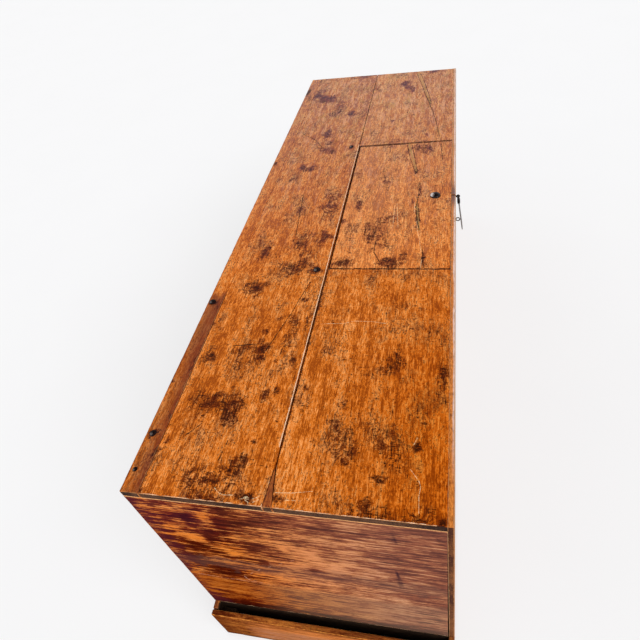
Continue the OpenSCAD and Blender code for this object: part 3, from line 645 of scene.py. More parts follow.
def forged_iron(name, black, brown, rough, highlight, strap, highlight_way=(0.0, 0.0, 1.0)):
    """Blacksmith's iron, oiled and blackened: hammer flats 6 mm across catch the light, brown
    rust lies in the hollows, faces that point the highlight's way, up unless given, get a
    painted highlight, and the hasp's strap below the lid is greyer."""
    made, tree, output = new_material(name)
    place = put(tree, "TexCoord", out=3)
    flats = put(tree, "TexVoronoi", {0: place, "Scale": 170.0, "Smoothness": 0.6}, feature="SMOOTH_F1")
    grit = put(tree, "TexNoise", {0: place, "Scale": 900.0, "Detail": 4.0, "Roughness": 0.7})
    rust = put(tree, "TexNoise", {0: place, "Scale": 120.0, "Detail": 5.0, "Roughness": 0.65})
    amount = put(tree, "MapRange", {0: rust, 1: 0.5, 2: 0.66, 4: 0.8})
    colour = put(tree, "Mix", {0: amount, 6: black, 7: brown}, out=2, data_type="RGBA")
    z = put(tree, "SeparateXYZ", {0: place}, out=2)
    low = put(tree, "MapRange", {0: z, 1: 0.642, 2: 0.632, 3: 0.0, 4: 0.8})
    colour = put(tree, "Mix", {0: low, 6: colour, 7: strap}, out=2, data_type="RGBA")
    # Painted highlight: faces that point the highlight's way are lightened
    facing = put(tree, "TexCoord", out=1)
    facing = put(tree, "VectorMath", {0: facing, 1: highlight_way}, out=1, operation="DOT_PRODUCT")
    facing = put(tree, "MapRange", {0: facing, 1: 0.86, 2: 0.97, 4: 0.85})
    colour = put(tree, "Mix", {0: facing, 6: colour, 7: highlight}, out=2, data_type="RGBA")
    metal = put(tree, "MapRange", {0: rust, 1: 0.5, 2: 0.66, 3: 1.0, 4: 0.25})
    gloss = put(tree, "MapRange", {0: grit, 1: 0.3, 2: 0.7, 3: rough, 4: rough + 0.22})
    height = put(tree, "Math", {0: grit, 1: 0.25, 2: flats}, operation="MULTIPLY_ADD")
    bump = put(tree, "Bump", {"Strength": 0.6, "Distance": 0.0006, "Height": height})
    shader = put(tree, "BsdfPrincipled", {
        "Base Color": colour, "Metallic": metal, "Roughness": gloss, "Normal": bump})
    tree.links.new(shader, output.inputs[0])
    return made


# Old waxed pine: a warm orange sheen under dark stains
TOP = wood("waxed_top_boards", "x", "#98460C", "#DC7620", "#FCA65C", "#86400F", "#481804",
           mottle=0.5, speckle=0.75, haze=0.35, rough=0.24, shine=0.06, pale="#F6CCA6", rub=0.85,
           cloudy=0.45, extra=top_marks)
# Stained pine: a dull brown wedge that stands out from the boards beside it
SLIP = wood("stained_seam_slip", "x", "#5A2008", "#97481A", "#BE6A2A", "#4A1E0C", "#32100A",
            rough=0.4, shine=0.2, rub=0.3)
# Waxed pine under old dark polish: orange, with brown streaks at the near end
STRIP = wood("polished_back_strip", "x", "#98460C", "#DA7420", "#FAA256", "#86400F", "#481804",
             mottle=0.5, speckle=0.75, haze=0.35, rough=0.24, shine=0.06, rub=0.25, cloudy=0.45,
             extra=strip_marks)
# Pine with a worn stain and no gloss: red-brown smears on orange wood
PANEL = wood("stained_end_panels", "y", "#8A380C", "#BE6A2C", "#DC8C48", "#5A1E0C", "#4A1A08",
             mottle=0.3, speckle=0.5, haze=0.2, streak=0.4, rough=0.5, shine=0.0, rub=0.8,
             worn=-0.6, extra=panel_marks)
# Polished pine: a brown satin face, with the cuts of the carving nearly black
CARVED = wood("polished_carved_front", "x", "#5E2C10", "#8E4C1E", "#B87236", "#3E1A0C", "#32140A",
              rough=0.34, shine=0.3, extra=carved_marks)
# Polished pine, worn through in patches: satin brown and dull orange along the grain
SIDE = wood("polished_case_boards", "x", "#5A2A10", "#8A4C1E", "#B47434", "#3E1C0C", "#32160A",
            streak=0.5, rough=0.4, shine=0.3, cloudy=0.5, extra=side_marks)
# Polished pine of the plinth: a plain satin brown with bright arrises
PLINTH = wood("polished_plinth_long", "x", "#642C0C", "#8E4E20", "#B4702E", "#45200F", "#32160A",
              rough=0.42, shine=0.2, pale="#D98F45")
# The same, rubbed by feet at the ends: matt, with a bright orange band
PLINTH_END = wood("polished_plinth_ends", "y", "#4E1C08", "#88461C", "#B8702E", "#3A160A", "#2A1008",
                  mottle=0.3, streak=0.4, rough=0.45, shine=0.0, pale="#D88A3C", rub=0.8, worn=-0.3,
                  extra=plinth_marks)
# Bare pine: pale and matt, never stained
INNER_X, INNER_Y = [
    wood("bare_pine_" + way, run, "#9C6A3A", "#BE8A54", "#D8AC78", "#80552F", "#7C502A",
         speckle=0.35, haze=0.4, rough=0.62, shine=0.3, pale="#DCC09A")
    for way, run in (("lengthwise", "x"), ("crosswise", "y"))]
# Pine painted nearly black as shade, matt, so that the slots of the plinth read as holes
UNDER_X, UNDER_Y, UNDER_Z = [
    wood("painted_shade_pine_" + way, run, "#1C100A", "#2C1C12", "#443020", "#140C08", "#100A06",
         rough=0.7, shine=0.1, pale="#5C4430")
    for way, run in (("lengthwise", "x"), ("crosswise", "y"), ("upright", "z"))]
# Sawn ends: matt end grain, darker than the faces and light along the arrises, partly rubbed and partly a
# painted highlight
END_DARK = end_grain("sawn_ends_of_the_top", "#2A160E", "#5E3E2A", "#C8854C", 0.7)
END_RED = end_grain("sawn_ends_of_the_case", "#421E10", "#84502A", "#C0824C", 0.6)
END_SMOKE = end_grain("smoke_dark_sawn_ends", "#2C0C06", "#5C2012", "#84401F", 0.25)
END_PINE = end_grain("sawn_ends_of_bare_pine", "#5A3C20", "#8A6238", "#DCC09A", 0.6)
# Oiled black iron: near black, with soft glints on the hammer flats and a painted highlight where it faces up
IRON = forged_iron("forged_black_iron", "#2C2624", "#20120C", 0.5, "#6E5E58", "#8A8480")
# Nail heads black with smoke: dull dots. The way of their painted highlight is shorter than 1,
# so that only a small painted glint is left
NAIL = forged_iron("smoke_black_nail_heads", "#241616", "#1C0E0A", 0.6, "#9A8E88", "#241616",
                   (-0.3, 0.25, 0.86))
# Black iron: a dark dome with one painted highlight
STUD = forged_iron("iron_stud_with_painted_highlight", "#241C1A", "#1C1210", 0.28, "#FFF4EE", "#241C1A",
                   (-0.12, 0.55, 0.826))


# Metres from the middle to the outer plinth members, under the end panels
CASE_HALF = 0.79


def finish_piece(piece, body, node, paint, ends=None, run="x", inside=None):
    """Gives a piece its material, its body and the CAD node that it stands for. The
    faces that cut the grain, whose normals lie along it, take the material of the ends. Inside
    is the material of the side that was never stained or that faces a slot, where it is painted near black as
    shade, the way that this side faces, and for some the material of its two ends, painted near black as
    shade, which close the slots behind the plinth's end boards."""
    normals, middles = np.empty((2, len(piece.data.polygons) * 3))
    piece.data.polygons.foreach_get("normal", normals)
    piece.data.polygons.foreach_get("center", middles)
    normals, middles = normals.reshape(-1, 3), middles.reshape(-1, 3)
    which = np.zeros(len(normals), np.int32)
    piece.data.materials.append(paint)
    if ends:
        piece.data.materials.append(ends)
        which[np.abs(normals[:, "xyz".index(run)]) > 0.75] = 1
    if inside:
        facing = normals @ np.array(inside[1], float) > 0.75
        piece.data.materials.append(inside[0])
        which[facing] = len(piece.data.materials) - 1
        for what in inside[2:]:
            piece.data.materials.append(what)
            which[facing & (np.abs(middles[:, 0]) > CASE_HALF)] = len(piece.data.materials) - 1
    piece.data.polygons.foreach_set("material_index", which)
    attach(piece, body)
    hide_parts(node)
    return piece


# Boards of the top

# The tables of marks follow the photo, read off it. For most of SPOTS and PANEL_SCRATCHES and for
# part of CRACKS and SCRATCHES a helper program then turned pixels into millimetres

# Stains of the top: X, Y, reach along X, reach along Y in millimetres, and strength
SPOTS = [
    (-795, -247, 5, 7, .9), (-790, 50, 9, 14, 1), (-790, 66, 4, 7, .9), (-786, -1, 4, 9, .9),
    (-778, -135, 8, 6, .7), (-769, 115, 3, 14, 1), (-756, 150, 4, 5, .8), (-745, 95, 4, 7, .8),
    (-740, -149, 4, 9, .9), (-728, 85, 6, 4, .7), (-725, 230, 5, 4, .8), (-716, -95, 4, 4, .8),
    (-707, 217, 4, 4, .7), (-694, 64, 3, 4, .9), (-681, -205, 6, 4, 1), (-681, -104, 6, 3, .7),
    (-680, -147, 10, 5, .7), (-664, -165, 4, 6, .7), (-658, -72, 7, 3, .85), (-629, 165, 8, 14, .6),
    (-622, 121, 8, 9, .8), (-613, -75, 9, 3, .7), (-599, 68, 8, 5, .8), (-592, 50, 6, 4, .9),
    (-584, -4, 4, 4, .95), (-524, 69, 4, 5, .85), (-522, 35, 12, 4, .8), (-522, 202, 7, 10, .8),
    (-519, 103, 5, 7, .9), (-499, 101, 10, 6, .9), (-479, 110, 7, 4, .6), (-454, 110, 5, 6, .8),
    (-420, 59, 16, 7, .6), (-419, 90, 6, 7, .6), (-363, 45, 4, 6, .8), (-325, 158, 11, 12, .8),
    (-316, 144, 10, 6, .6), (-249, -98, 4, 12, .7), (-233, -118, 9, 10, .95), (-220, -149, 13, 7, .65),
    (-228, -193, 18, 2.6, 1), (-88, -174, 34, 2.4, 1), (-58, -171, 26, 2, 1), (34, -172, 30, 1.8, .9),
    (-12, -158, 10, 1.5, .8), (-206, 181, 13, 8, .7), (-151, 41, 18, 6, .8), (-86, 6, 9, 6, .75),
    (-31, -26, 7, 7, .7), (-22, 53, 16, 8, .7), (80, -85, 6, 10, .7), (124, -159, 11, 5, .8),
    (162, 138, 18, 7, .7), (171, 167, 16, 8, .8), (199, 253, 12, 5, .7), (247, -192, 13, 5, .7),
    (271, 110, 12, 16, .6), (325, -181, 12, 4, .6), (366, 136, 14, 11, .95), (384, 126, 12, 8, .8),
    (426, -70, 10, 4, .7), (492, 70, 15, 7, .9), (508, 66, 8, 6, .8), (624, 164, 14, 11, .8),
    (636, 186, 12, 11, .9), (652, 214, 20, 12, .9), (600, 150, 14, 7, .6), (640, -124, 14, 7, .7),
    (668, -106, 16, 7, .6), (700, -88, 18, 7, .8), (777, 231, 18, 5, .7), (793, -188, 16, 15, .6),
    (272, 41, 12, 8, .8), (-268, 40, 9, 9, .9), (-795, 233, 6, 16, .6), (-796, 120, 5, 30, .6)]

# Soft dirt of the top, in the same form
SMOKES = [
    (-770, 125, 30, 50, .6), (-626, 155, 18, 38, .9), (-632, 120, 36, 8, .9), (-742, 88, 22, 9, .9),
    (-600, 66, 14, 9, .8), (-508, 100, 24, 12, .9), (-462, 54, 48, 12, .7), (-522, 206, 20, 11, .8),
    (-494, 150, 12, 30, .5), (-325, 162, 22, 18, .9), (-264, 78, 18, 44, .7), (-176, 92, 38, 28, .8),
    (-205, 181, 18, 12, .8), (-150, 42, 26, 12, .8), (-20, 50, 48, 18, .9), (162, 152, 18, 26, .8),
    (266, 112, 18, 24, .8), (325, 108, 26, 10, .7), (372, 130, 26, 20, 1), (495, 68, 24, 13, 1),
    (540, 122, 40, 14, .7), (660, 214, 30, 22, .9), (626, 174, 26, 22, .9), (560, 128, 40, 12, .6),
    (700, 256, 28, 8, .8), (644, -120, 28, 12, .9), (676, -102, 20, 10, .8), (704, -88, 24, 10, .9),
    (788, -196, 22, 22, .9), (796, 56, 10, 40, .9), (-519, -158, 22, 20, .9), (-360, -151, 20, 12, .8),
    (-680, -160, 36, 26, .5), (-792, -150, 14, 30, .8), (-540, -238, 18, 9, .9),
    (-795, -200, 16, 60, .5), (-245, -14, 14, 26, .9), (-140, -80, 50, 18, .65),
    (-72, -102, 32, 20, .55), (-240, -125, 14, 24, .9), (-30, -24, 18, 10, .7), (252, -168, 26, 34, .5),
    (288, -90, 14, 30, .4), (-660, -96, 40, 26, .3), (-430, 20, 60, 6, .6)]

# Grime in the joints of the top, as lines through points X, Y
SEAMS = [[(-700, 15), (-262, 13), (276, 14)], [(-264, 12), (-264, -252)], [(275, 12), (283, -252)],
         [(279, 12), (287, -252)]]

# Tan bands of filler in the wide cracks, in the same form
BANDS = [[(280, -132), (262, -134), (200, -146), (130, -160)], [(-22, -169), (-90, -176), (-128, -180)],
         [(790, -131), (678, -156), (600, -170), (540, -183)]]

# Open cracks and dark scores of the top, each a line through points X, Y
CRACKS = [
    [(-505, 96), (-440, 78), (-400, 66), (-350, 56), (-310, 46)], [(275, 125), (330, 160), (372, 208)],
    [(776, -129), (678, -150), (600, -165), (532, -181), (425, -202), (314, -217)],
    [(776, -141), (678, -162), (590, -178), (532, -186)], [(268, -127), (200, -139), (118, -158)],
    [(268, -141), (200, -152), (118, -164)], [(73, -171), (5, -172), (-35, -168)],
    [(-45, -169), (-86, -173), (-127, -180)], [(-201, -191), (-256, -196)],
    [(290, 15), (470, 15.5), (795, 16)], [(-24, -173), (-90, -180)], [(275, -222), (184, -228)],
    [(-493, 164), (-487, 122)], [(-695, 191), (-674, 173)], [(-699, 110), (-731, 114)],
    [(-165, -83), (-208, -83), (-239, -98)], [(30, 135), (-142, 116)]]

# Pale scratches of the top
SCRATCHES = [
    [(-722, -199), (-737, -211), (-746, -214), (-759, -212), (-782, -213)],
    [(-776, 2), (-774, -22), (-769, -50)], [(-786, -16), (-785, -34)],
    [(-429, -4), (-426, -48), (-419, -68), (-419, -100), (-423, -128)],
    [(-112, -118), (-31, -115)], [(-115, -130), (-23, -121)],
    [(-205, -188), (-160, -182), (-128, -176)], [(-60, -166), (-20, -164)],
    [(-262, -190), (-236, -191)], [(-120, -176), (-96, -173)],
    [(-676, -201), (-668, -204)], [(-780, 103), (-785, 97), (-788, 88), (-787, 74)],
    [(-791, 56), (-789, 47)], [(-788, 54), (-787, 48)],
    [(-792, 51), (-795, 44), (-799, 43)], [(-789, 37), (-786, 31)], [(-793, 34), (-791, 30)]]


def to_lines(places, lines, key):
    """Two marks for lines through points: the distance to the nearest straight part, minus on
    its left, so that it passes through 0 between points of the mesh, and 1 on the line falling
    to 0 at 6 mm from it."""
    best, signed = np.full(len(places), 40.0), np.full(len(places), 40.0)
    for line in lines:
        for start, end in zip(np.array(line[:-1], float), np.array(line[1:], float)):
            along, off = end - start, places - start
            t = np.clip(off @ along / (along @ along), 0, 1)
            away = np.linalg.norm(off - t[:, None] * along, axis=1)
            across = (off[:, 0] * along[1] - off[:, 1] * along[0]) / np.linalg.norm(along)
            signed = np.where(away < best, across, signed)
            best = np.minimum(best, away)
    return {key: signed, key + "_near": np.clip(1 - best / 6, 0, 1)}


def blots(places, marks, widen=1.5, ragged=0.0, size=12.0):
    """The greatest of strength x (1.5 - ellipse distance), from 0 to 1, at each place, the
    places first pushed about in lumps of the given size and in lumps 26 mm across, there by a
    share of the stain's own reach."""
    total = np.zeros(len(places))
    spread = np.concatenate([places, places[:, :1] * 0], 1)
    push = [np.stack([lumps(spread, cell, 31) + 0.5 * lumps(spread, cell / 2, 32),
                      lumps(spread, cell, 33) + 0.5 * lumps(spread, cell / 2, 34)], -1)
            for cell in (size, 26.0)]
    for a, b, reach_a, reach_b, strength in marks:
        moved = places + ragged * push[0] + (0.5 * min(reach_a, reach_b) if ragged else 0.0) * push[1]
        away = np.hypot((moved[:, 0] - a) / (reach_a + widen), (moved[:, 1] - b) / (reach_b + widen))
        total = np.maximum(total, strength * np.clip(1.5 - away, 0, 1))
    return total


def marks_of(points, edge):
    """What the top's material reads at each point: distance from the arris, soft dirt, stains
    and the distances to the cracks and scratches."""
    flat = points[:, :2]
    upper = points[:, 2] > points[:, 2].max() - 3
    # Farther from the arris means less wear, so only the ends at the near end keep all of it
    inside = np.where(points[:, 0] > points[:, 0].min() + 4, 0.9, 0) if points[:, 0].min() < -790 else 0.9
    marks = {"spots": blots(flat, SPOTS, 1.0, 5.0, 9.0), "smoke": blots(flat, SMOKES, 1.5, 14.0, 24.0)}
    for key, lines in (("seams", SEAMS), ("bands", BANDS), ("cracks", CRACKS), ("scuffs", SCRATCHES)):
        marks.update(to_lines(flat, lines, key))
    for key in ("spots", "smoke", "seams_near", "bands_near", "cracks_near", "scuffs_near"):
        marks[key] = np.where(upper, marks[key], 0)
    # Painted highlight: the back board's arris behind its joint is painted pale. Free of dirt:
    # the front arris, both sides of the long joint, the back board before the strip, and both sides of the
    # lid's end joints
    x, y = flat.T
    rubbed_and_highlit = (y > 16) & (y < 20) & (x > -700) & (x < 290)
    clean = (y < -240) | ((y > 16) & (y < 28) & (x > -700)) | ((y < 14) & (y > 2) & (x > 290))
    clean |= (y > 222) & (x > -350)
    clean |= (y < 12) & ((np.abs(x + 264) < 10) | (np.abs(x - 279 + (y + 120) / 33) < 12))
    return {"arris": edge + inside + np.where(rubbed_and_highlit, -1.5, np.where(clean, 4.0, 0)), **marks}


def top_board(node, bend, body="trunk", paint=TOP, seed=1, painted_sheen=0.0):
    """A board of the top, bent to its slanting edges and paled by a painted sheen of a share
    from 0 to 1, less towards its front edge."""
    low, high = cad(node)
    points, faces, edge = board_shell(low, high, arris=1.1, fine=2.4, growth=0.0008, wear=0.55, seed=seed)
    points = bend(points, low, high)
    marks = {**marks_of(points, edge), "painted_sheen": painted_sheen * np.interp(points[:, 1], [-250, -90], [0.15, 1])}
    piece = solid(node + "_wood", [(points, faces)], marks)
    return finish_piece(piece, body, node, paint, END_DARK, inside=(INNER_X, (0, 0, -1)))


lid_low, lid_high = cad("lid_board")
right_low, right_high = cad("top_right_board")
slip_low, slip_high = cad("seam_slip")
# The slanting joint between lid and right board, and how much farther back than in the CAD the
# right board reaches, in millimetres
SEAM_GAP, RIGHT_REACH = 1.6, 1.9
seam_slope = (lid_high[0] - (right_low[0] - SEAM_GAP)) / (right_high[1] - lid_low[1])


def lid_bend(points, low, high):
    """The lid's right end slants: it is longer towards the front."""
    slant = high[0] - seam_slope * (points[:, 1] - low[1])
    points[:, 0] = between(points[:, 0], (low[0], high[0]), (low[0], slant))
    return points


def right_bend(points, low, high):
    """The right board's left end follows the slant of the lid."""
    slant = low[0] + seam_slope * (high[1] - points[:, 1])
    points[:, 0] = between(points[:, 0], (low[0], high[0]), (slant, high[0]))
    # The joint behind it has closed to a hair
    points[:, 1] = between(points[:, 1], (low[1], high[1]), (low[1], high[1] + RIGHT_REACH))
    return points


def left_bend(points, low, high):
    """The left board's back edge is cut back for the slip at the left end."""
    cut = np.interp(points[:, 0], [slip_low[0], slip_high[0] + 4], [slip_low[1] - 0.5, high[1]])
    points[:, 1] = between(points[:, 1], (low[1], high[1]), (low[1], cut))
    return points


def back_bend(points, low, high):
    """The back board's front edge is cut back for the slip at the left end."""
    cut = np.interp(points[:, 0], [slip_low[0], slip_high[0] + 4], [slip_high[1] + 0.5, low[1]])
    points[:, 1] = between(points[:, 1], (low[1], high[1]), (cut, high[1]))
    return points


def slip_bend(points, low, high):
    """The slip tapers to a point."""
    tip = low[1] + 9.75
    edges = [np.interp(points[:, 0], [low[0], high[0]], pair)
             for pair in ((low[1], tip - 0.3), (high[1], tip + 0.3))]
    points[:, 1] = between(points[:, 1], (low[1], high[1]), edges)
    return points


top_board("top_left_board", left_bend, seed=2)
top_board("top_back_board", back_bend, seed=3)
top_board("top_right_board", right_bend, seed=4, painted_sheen=0.4)
top_board("lid_board", lid_bend, body="lid", seed=5, painted_sheen=0.6)
top_board("seam_slip", slip_bend, paint=SLIP, seed=6)

# Plain boards

# Stains of the back strip: X, Y, reach along X, reach along Y in millimetres, and strength
STRIP_STAINS = [
    (-694.4, 250, 10, 10, 1), (-373.6, 252, 11, 12, .9), (-390, 241, 14, 6, .5), (-581, 262, 6, 3, .9),
    (-596, 251, 5, 5, .6), (-660, 235, 14, 5, .6), (-730, 231, 12, 4, .8), (-540, 233, 40, 3, .6),
    (-762, 254, 6, 6, .5), (199, 257, 12, 5, .9), (690, 256, 34, 7, .9), (640, 240, 30, 10, .6)]

# Node, its axes along, across and through, arris and mesh spacing in millimetres, wear, paint,
# paint of the ends, and slot
PLAIN = [
    ("back_strip", "xyz", 1.3, 4.0, 0.6, STRIP, END_DARK, "top_wood"),
    ("back_board", "xzy", 1.2, 8.0, 0.6, SIDE, END_RED, "side_wood"),
    ("floor_board_front", "xyz", 1.2, 14.0, 0.4, INNER_X, END_PINE, "inner_wood"),
    ("floor_board_middle", "xyz", 1.2, 14.0, 0.4, INNER_X, END_PINE, "inner_wood"),
    ("floor_board_back", "xyz", 1.2, 14.0, 0.4, INNER_X, END_PINE, "inner_wood"),
    ("plinth_front", "xzy", 3.2, 8.0, 0.8, PLINTH, END_RED, "side_wood"),
    ("plinth_back", "xzy", 3.2, 8.0, 0.8, PLINTH, END_SMOKE, "side_wood"),
    ("plinth_left", "yzx", 3.6, 5.0, 0.8, PLINTH_END, END_RED, "side_wood"),
    ("plinth_right", "yzx", 3.6, 6.0, 0.8, PLINTH_END, END_RED, "side_wood"),
    ("plinth_member_left", "yxz", 1.2, 12.0, 0.4, INNER_Y, None, "inner_wood"),
    ("plinth_member_middle", "yxz", 1.2, 12.0, 0.4, INNER_Y, None, "inner_wood"),
    ("plinth_member_right", "yxz", 1.2, 12.0, 0.4, INNER_Y, None, "inner_wood")]
# Their sides that were never stained, or that face the slots between plinth and end panels
# and are painted near black there as shade: the material, the way that the side faces and,
# for the plinth's long boards, the material of that side's two ends, painted shade as well
INSIDE = {"back_board": (INNER_X, (0, -1, 0)),
          "plinth_front": (INNER_X, (0, 1, 0), UNDER_X),
          "plinth_back": (INNER_X, (0, -1, 0), UNDER_X),
          "plinth_left": (UNDER_Z, (1, 0, 0)), "plinth_right": (UNDER_Z, (-1, 0, 0)),
          "plinth_member_left": (UNDER_Y, (-1, 0, 0)), "plinth_member_right": (UNDER_Y, (1, 0, 0))}
for number, (node, axes, arris, fine, wear, paint, ends, slot) in enumerate(PLAIN):
    low, high = cad(node)
    points, faces, edge = board_shell(low, high, axes, arris, fine, wear=wear, seed=20 + number)
    marks = {"arris": edge}
    if node == "back_strip":
        # Grime round its nails, and past the first third its joint is narrower and clean
        far = points[:, 0] > -350
        points[:, 1] -= np.where(far & (points[:, 1] < low[1] + 3), 0.6, 0)
        marks["arris"] = edge + np.where(far & (points[:, 1] < low[1] + 12), 5.0, 0)
        marks["spots"] = blots(points[:, :2], STRIP_STAINS, 0, 4.0)
    finish_piece(solid(node + "_wood", [(points, faces)], marks), "trunk", node, paint,
                 ends, axes[0], INSIDE.get(node))

# The left end panel's dark blotches: Y, Z, reach along Y, reach along Z and strength
BLOTCHES = [(96, 583, 34, 30, 1), (169, 569, 18, 20, .9), (138, 513, 26, 18, .9), (194, 457, 32, 22, .9),
            (54, 478, 36, 28, .8), (173, 338, 40, 30, .9), (236, 440, 22, 60, .6), (215, 380, 40, 24, .7),
            (60, 600, 60, 14, .6), (-30, 395, 120, 12, .35), (-120, 380, 60, 18, .4), (40, 540, 30, 10, .5),
            (-80, 600, 90, 10, .4), (-170, 500, 40, 50, .3), (100, 420, 50, 12, .5)]
# Its bright worn patches, in the same form
WORN = [(187, 499, 18, 16, .9), (20, 350, 70, 24, .6), (-20, 480, 90, 30, .5), (140, 588, 13, 11, .8),
        (128, 457, 20, 18, .8), (40, 530, 40, 12, .7), (0, 500, 50, 10, .8), (-60, 455, 70, 12, .7),
        (20, 430, 30, 14, .6), (-90, 420, 60, 10, .7), (-60, 560, 60, 10, .6), (215, 530, 14, 20, .7),
        (180, 260, 60, 40, .6)]
# Its dark upright dents, in the same form
DENTS = [(-173, 592, 2.5, 14, 1), (-171, 455, 2.5, 14, 1), (-173, 412, 4, 26, .8)]
# Its pale lines, through points Y, Z
PANEL_SCRATCHES = [[(144, 323), (93, 381), (53, 416), (15, 450), (-5, 463)],
                   [(251, 307), (199, 303), (114, 302), (31, 300), (-134, 302)]]

for side in ("left", "right"):
    node = "lid_batten_" + side
    low, high = cad(node)
    points, faces, edge = board_shell(low, high, "yxz", 2.0, 8.0, wear=0.4, seed=50)
    finish_piece(solid(node + "_wood", [(points, faces)], {"arris": edge}), "lid", node, INNER_Y,
                 END_PINE, "y")

    # The end panel has shrunk away from the front board, more at the foot than at the top
    node = "end_panel_" + side
    low, high = cad(node)
    points, faces, edge = board_shell(low, high, "yzx", 1.1, 5.0, wear=0.5, seed=52)
    shrunk = low[1] + np.interp(points[:, 2], [low[2], high[2]], [3.4, 0.5])
    points[:, 1] = between(points[:, 1], (low[1], high[1]), (shrunk, high[1]))
    gap_side = (points[:, 1] < low[1] + 12) & (points[:, 2] < high[2] - 6)
    edge = edge + np.where(gap_side, 3.0, 0)
    none = np.zeros(len(points))
    marks = {"arris": edge, "smoke": 0.7 * lumps(points, 70, 90), "spots": none, "scuffs": none,
             "scuffs_near": none}
    if side == "left":
        flat = points[:, 1:]
        marks["smoke"] = blots(flat, BLOTCHES, 0, 7.0, 14.0) - blots(flat, WORN, 0, 7.0, 14.0)
        marks["spots"] = blots(flat, DENTS, 0, 2.0)
        marks.update(to_lines(flat, PANEL_SCRATCHES, "scuffs"))
    finish_piece(solid(node + "_wood", [(points, faces)], marks), "trunk", node, PANEL,
                 END_RED, "y", (INNER_Y, (1 if side == "left" else -1, 0, 0)))

# Corner blocks: four of the same, with these sizes along X and Y in millimetres
BLOCK_X, BLOCK_Y = 16, 28
low, high = cad("plinth_blocks")
shells, edges = [], []
for x in (low[0], high[0] - BLOCK_X):
    for y in (low[1], high[1] - BLOCK_Y):
        corner = np.array([x, y, low[2]])
        opposite = corner + [BLOCK_X, BLOCK_Y, high[2] - low[2]]
        points, faces, edge = board_shell(corner, opposite, "zyx", 1.2, 9.0, seed=60)
        shells.append((points, faces))
        edges.append(edge)
# The corner blocks take the pine painted near black as shade
finish_piece(solid("plinth_blocks_wood", shells, {"arris": np.concatenate(edges)}),
             "trunk", "plinth_blocks", UNDER_Z)

# The bearers keep their CAD meshes
for node in ("bearer_left", "bearer_right"):
    for place in frame["nodes"][node].material_slots:
        place.material = INNER_Y


# Carved front board

front_low, front_high = cad("front_board")
# Three fields in millimetres: from one to the next, width, height, and height of the middle
FIELD_PITCH, FIELD_W, FIELD_H = 520.0, 480.0, 354.0
FIELD_Z = front_low[2] + 44 + FIELD_H / 2
# Width of the grooves and depth of all cuts
GROOVE, CUT = 8.0, 4.0
# Outer radius of the ring, length of a petal and of a corner leaf
ROUNDEL = FIELD_H / 2 - GROOVE - 14
PETAL, LEAF = ROUNDEL - 2 * GROOVE, 84.0
# Half the width of a petal or leaf, as a share of its length: 1 - cos 30
LENS_HALF = 0.134
# Points of the grid this near to an edge of a cut slide on to it
SNAP = 1.45
# Thickness of the carved outer plate
PLATE = 10.8
# The notch for the lid's eye in the top of the board: half width and height of its floor
NOTCH_HALF, NOTCH_Z = 3.25, 652.7


def lens_gap(x, z, long):
    """Signed distance to a lens of the given length standing on the origin along +Z: the
    greater of the distances to its two arcs of radius long."""
    off = long * math.cos(math.radians(30))
    return np.maximum(np.hypot(x + off, z - long / 2), np.hypot(x - off, z - long / 2)) - long


def cuts(x, z):
    """Depth of the carving and signed distance to its nearest edge, at places from the middle
    of a field: the gouged border is round in section, the ring, petals and leaves are V-cuts."""
    frame_gap = np.abs(np.maximum(np.abs(x) - FIELD_W / 2, np.abs(z) - FIELD_H / 2) + GROOVE / 2) - GROOVE / 2
    round_gap = np.abs(np.hypot(x, z) - ROUNDEL + GROOVE / 2) - GROOVE / 2
    turn = np.arctan2(x, z)
    turn = (turn + math.pi / 6) % (math.pi / 3) - math.pi / 6
    petal_gap = lens_gap(np.hypot(x, z) * np.sin(turn), np.hypot(x, z) * np.cos(turn), PETAL)
    in_x, in_z = FIELD_W / 2 - 2 * GROOVE - np.abs(x), FIELD_H / 2 - 2 * GROOVE - np.abs(z)
    leaf_gap = lens_gap((in_x - in_z) / math.sqrt(2), (in_x + in_z) / math.sqrt(2), LEAF)
    gap = np.minimum(np.minimum(frame_gap, round_gap), np.minimum(petal_gap, leaf_gap))
    gouge = np.clip(-frame_gap / (GROOVE / 2), 0, 1)
    gouge = np.maximum(np.sqrt(1 - (1 - gouge) ** 2), np.clip(-round_gap / (GROOVE / 2), 0, 1))
    chip = np.maximum(np.clip(-petal_gap / (PETAL * LENS_HALF), 0, 1),
                      np.clip(-leaf_gap / (LEAF * LENS_HALF), 0, 1))
    depth = CUT * np.maximum(gouge, chip ** 0.8)
    ground = (np.hypot(x, z) < ROUNDEL - GROOVE) & (petal_gap > 0)
    return depth, gap, ground


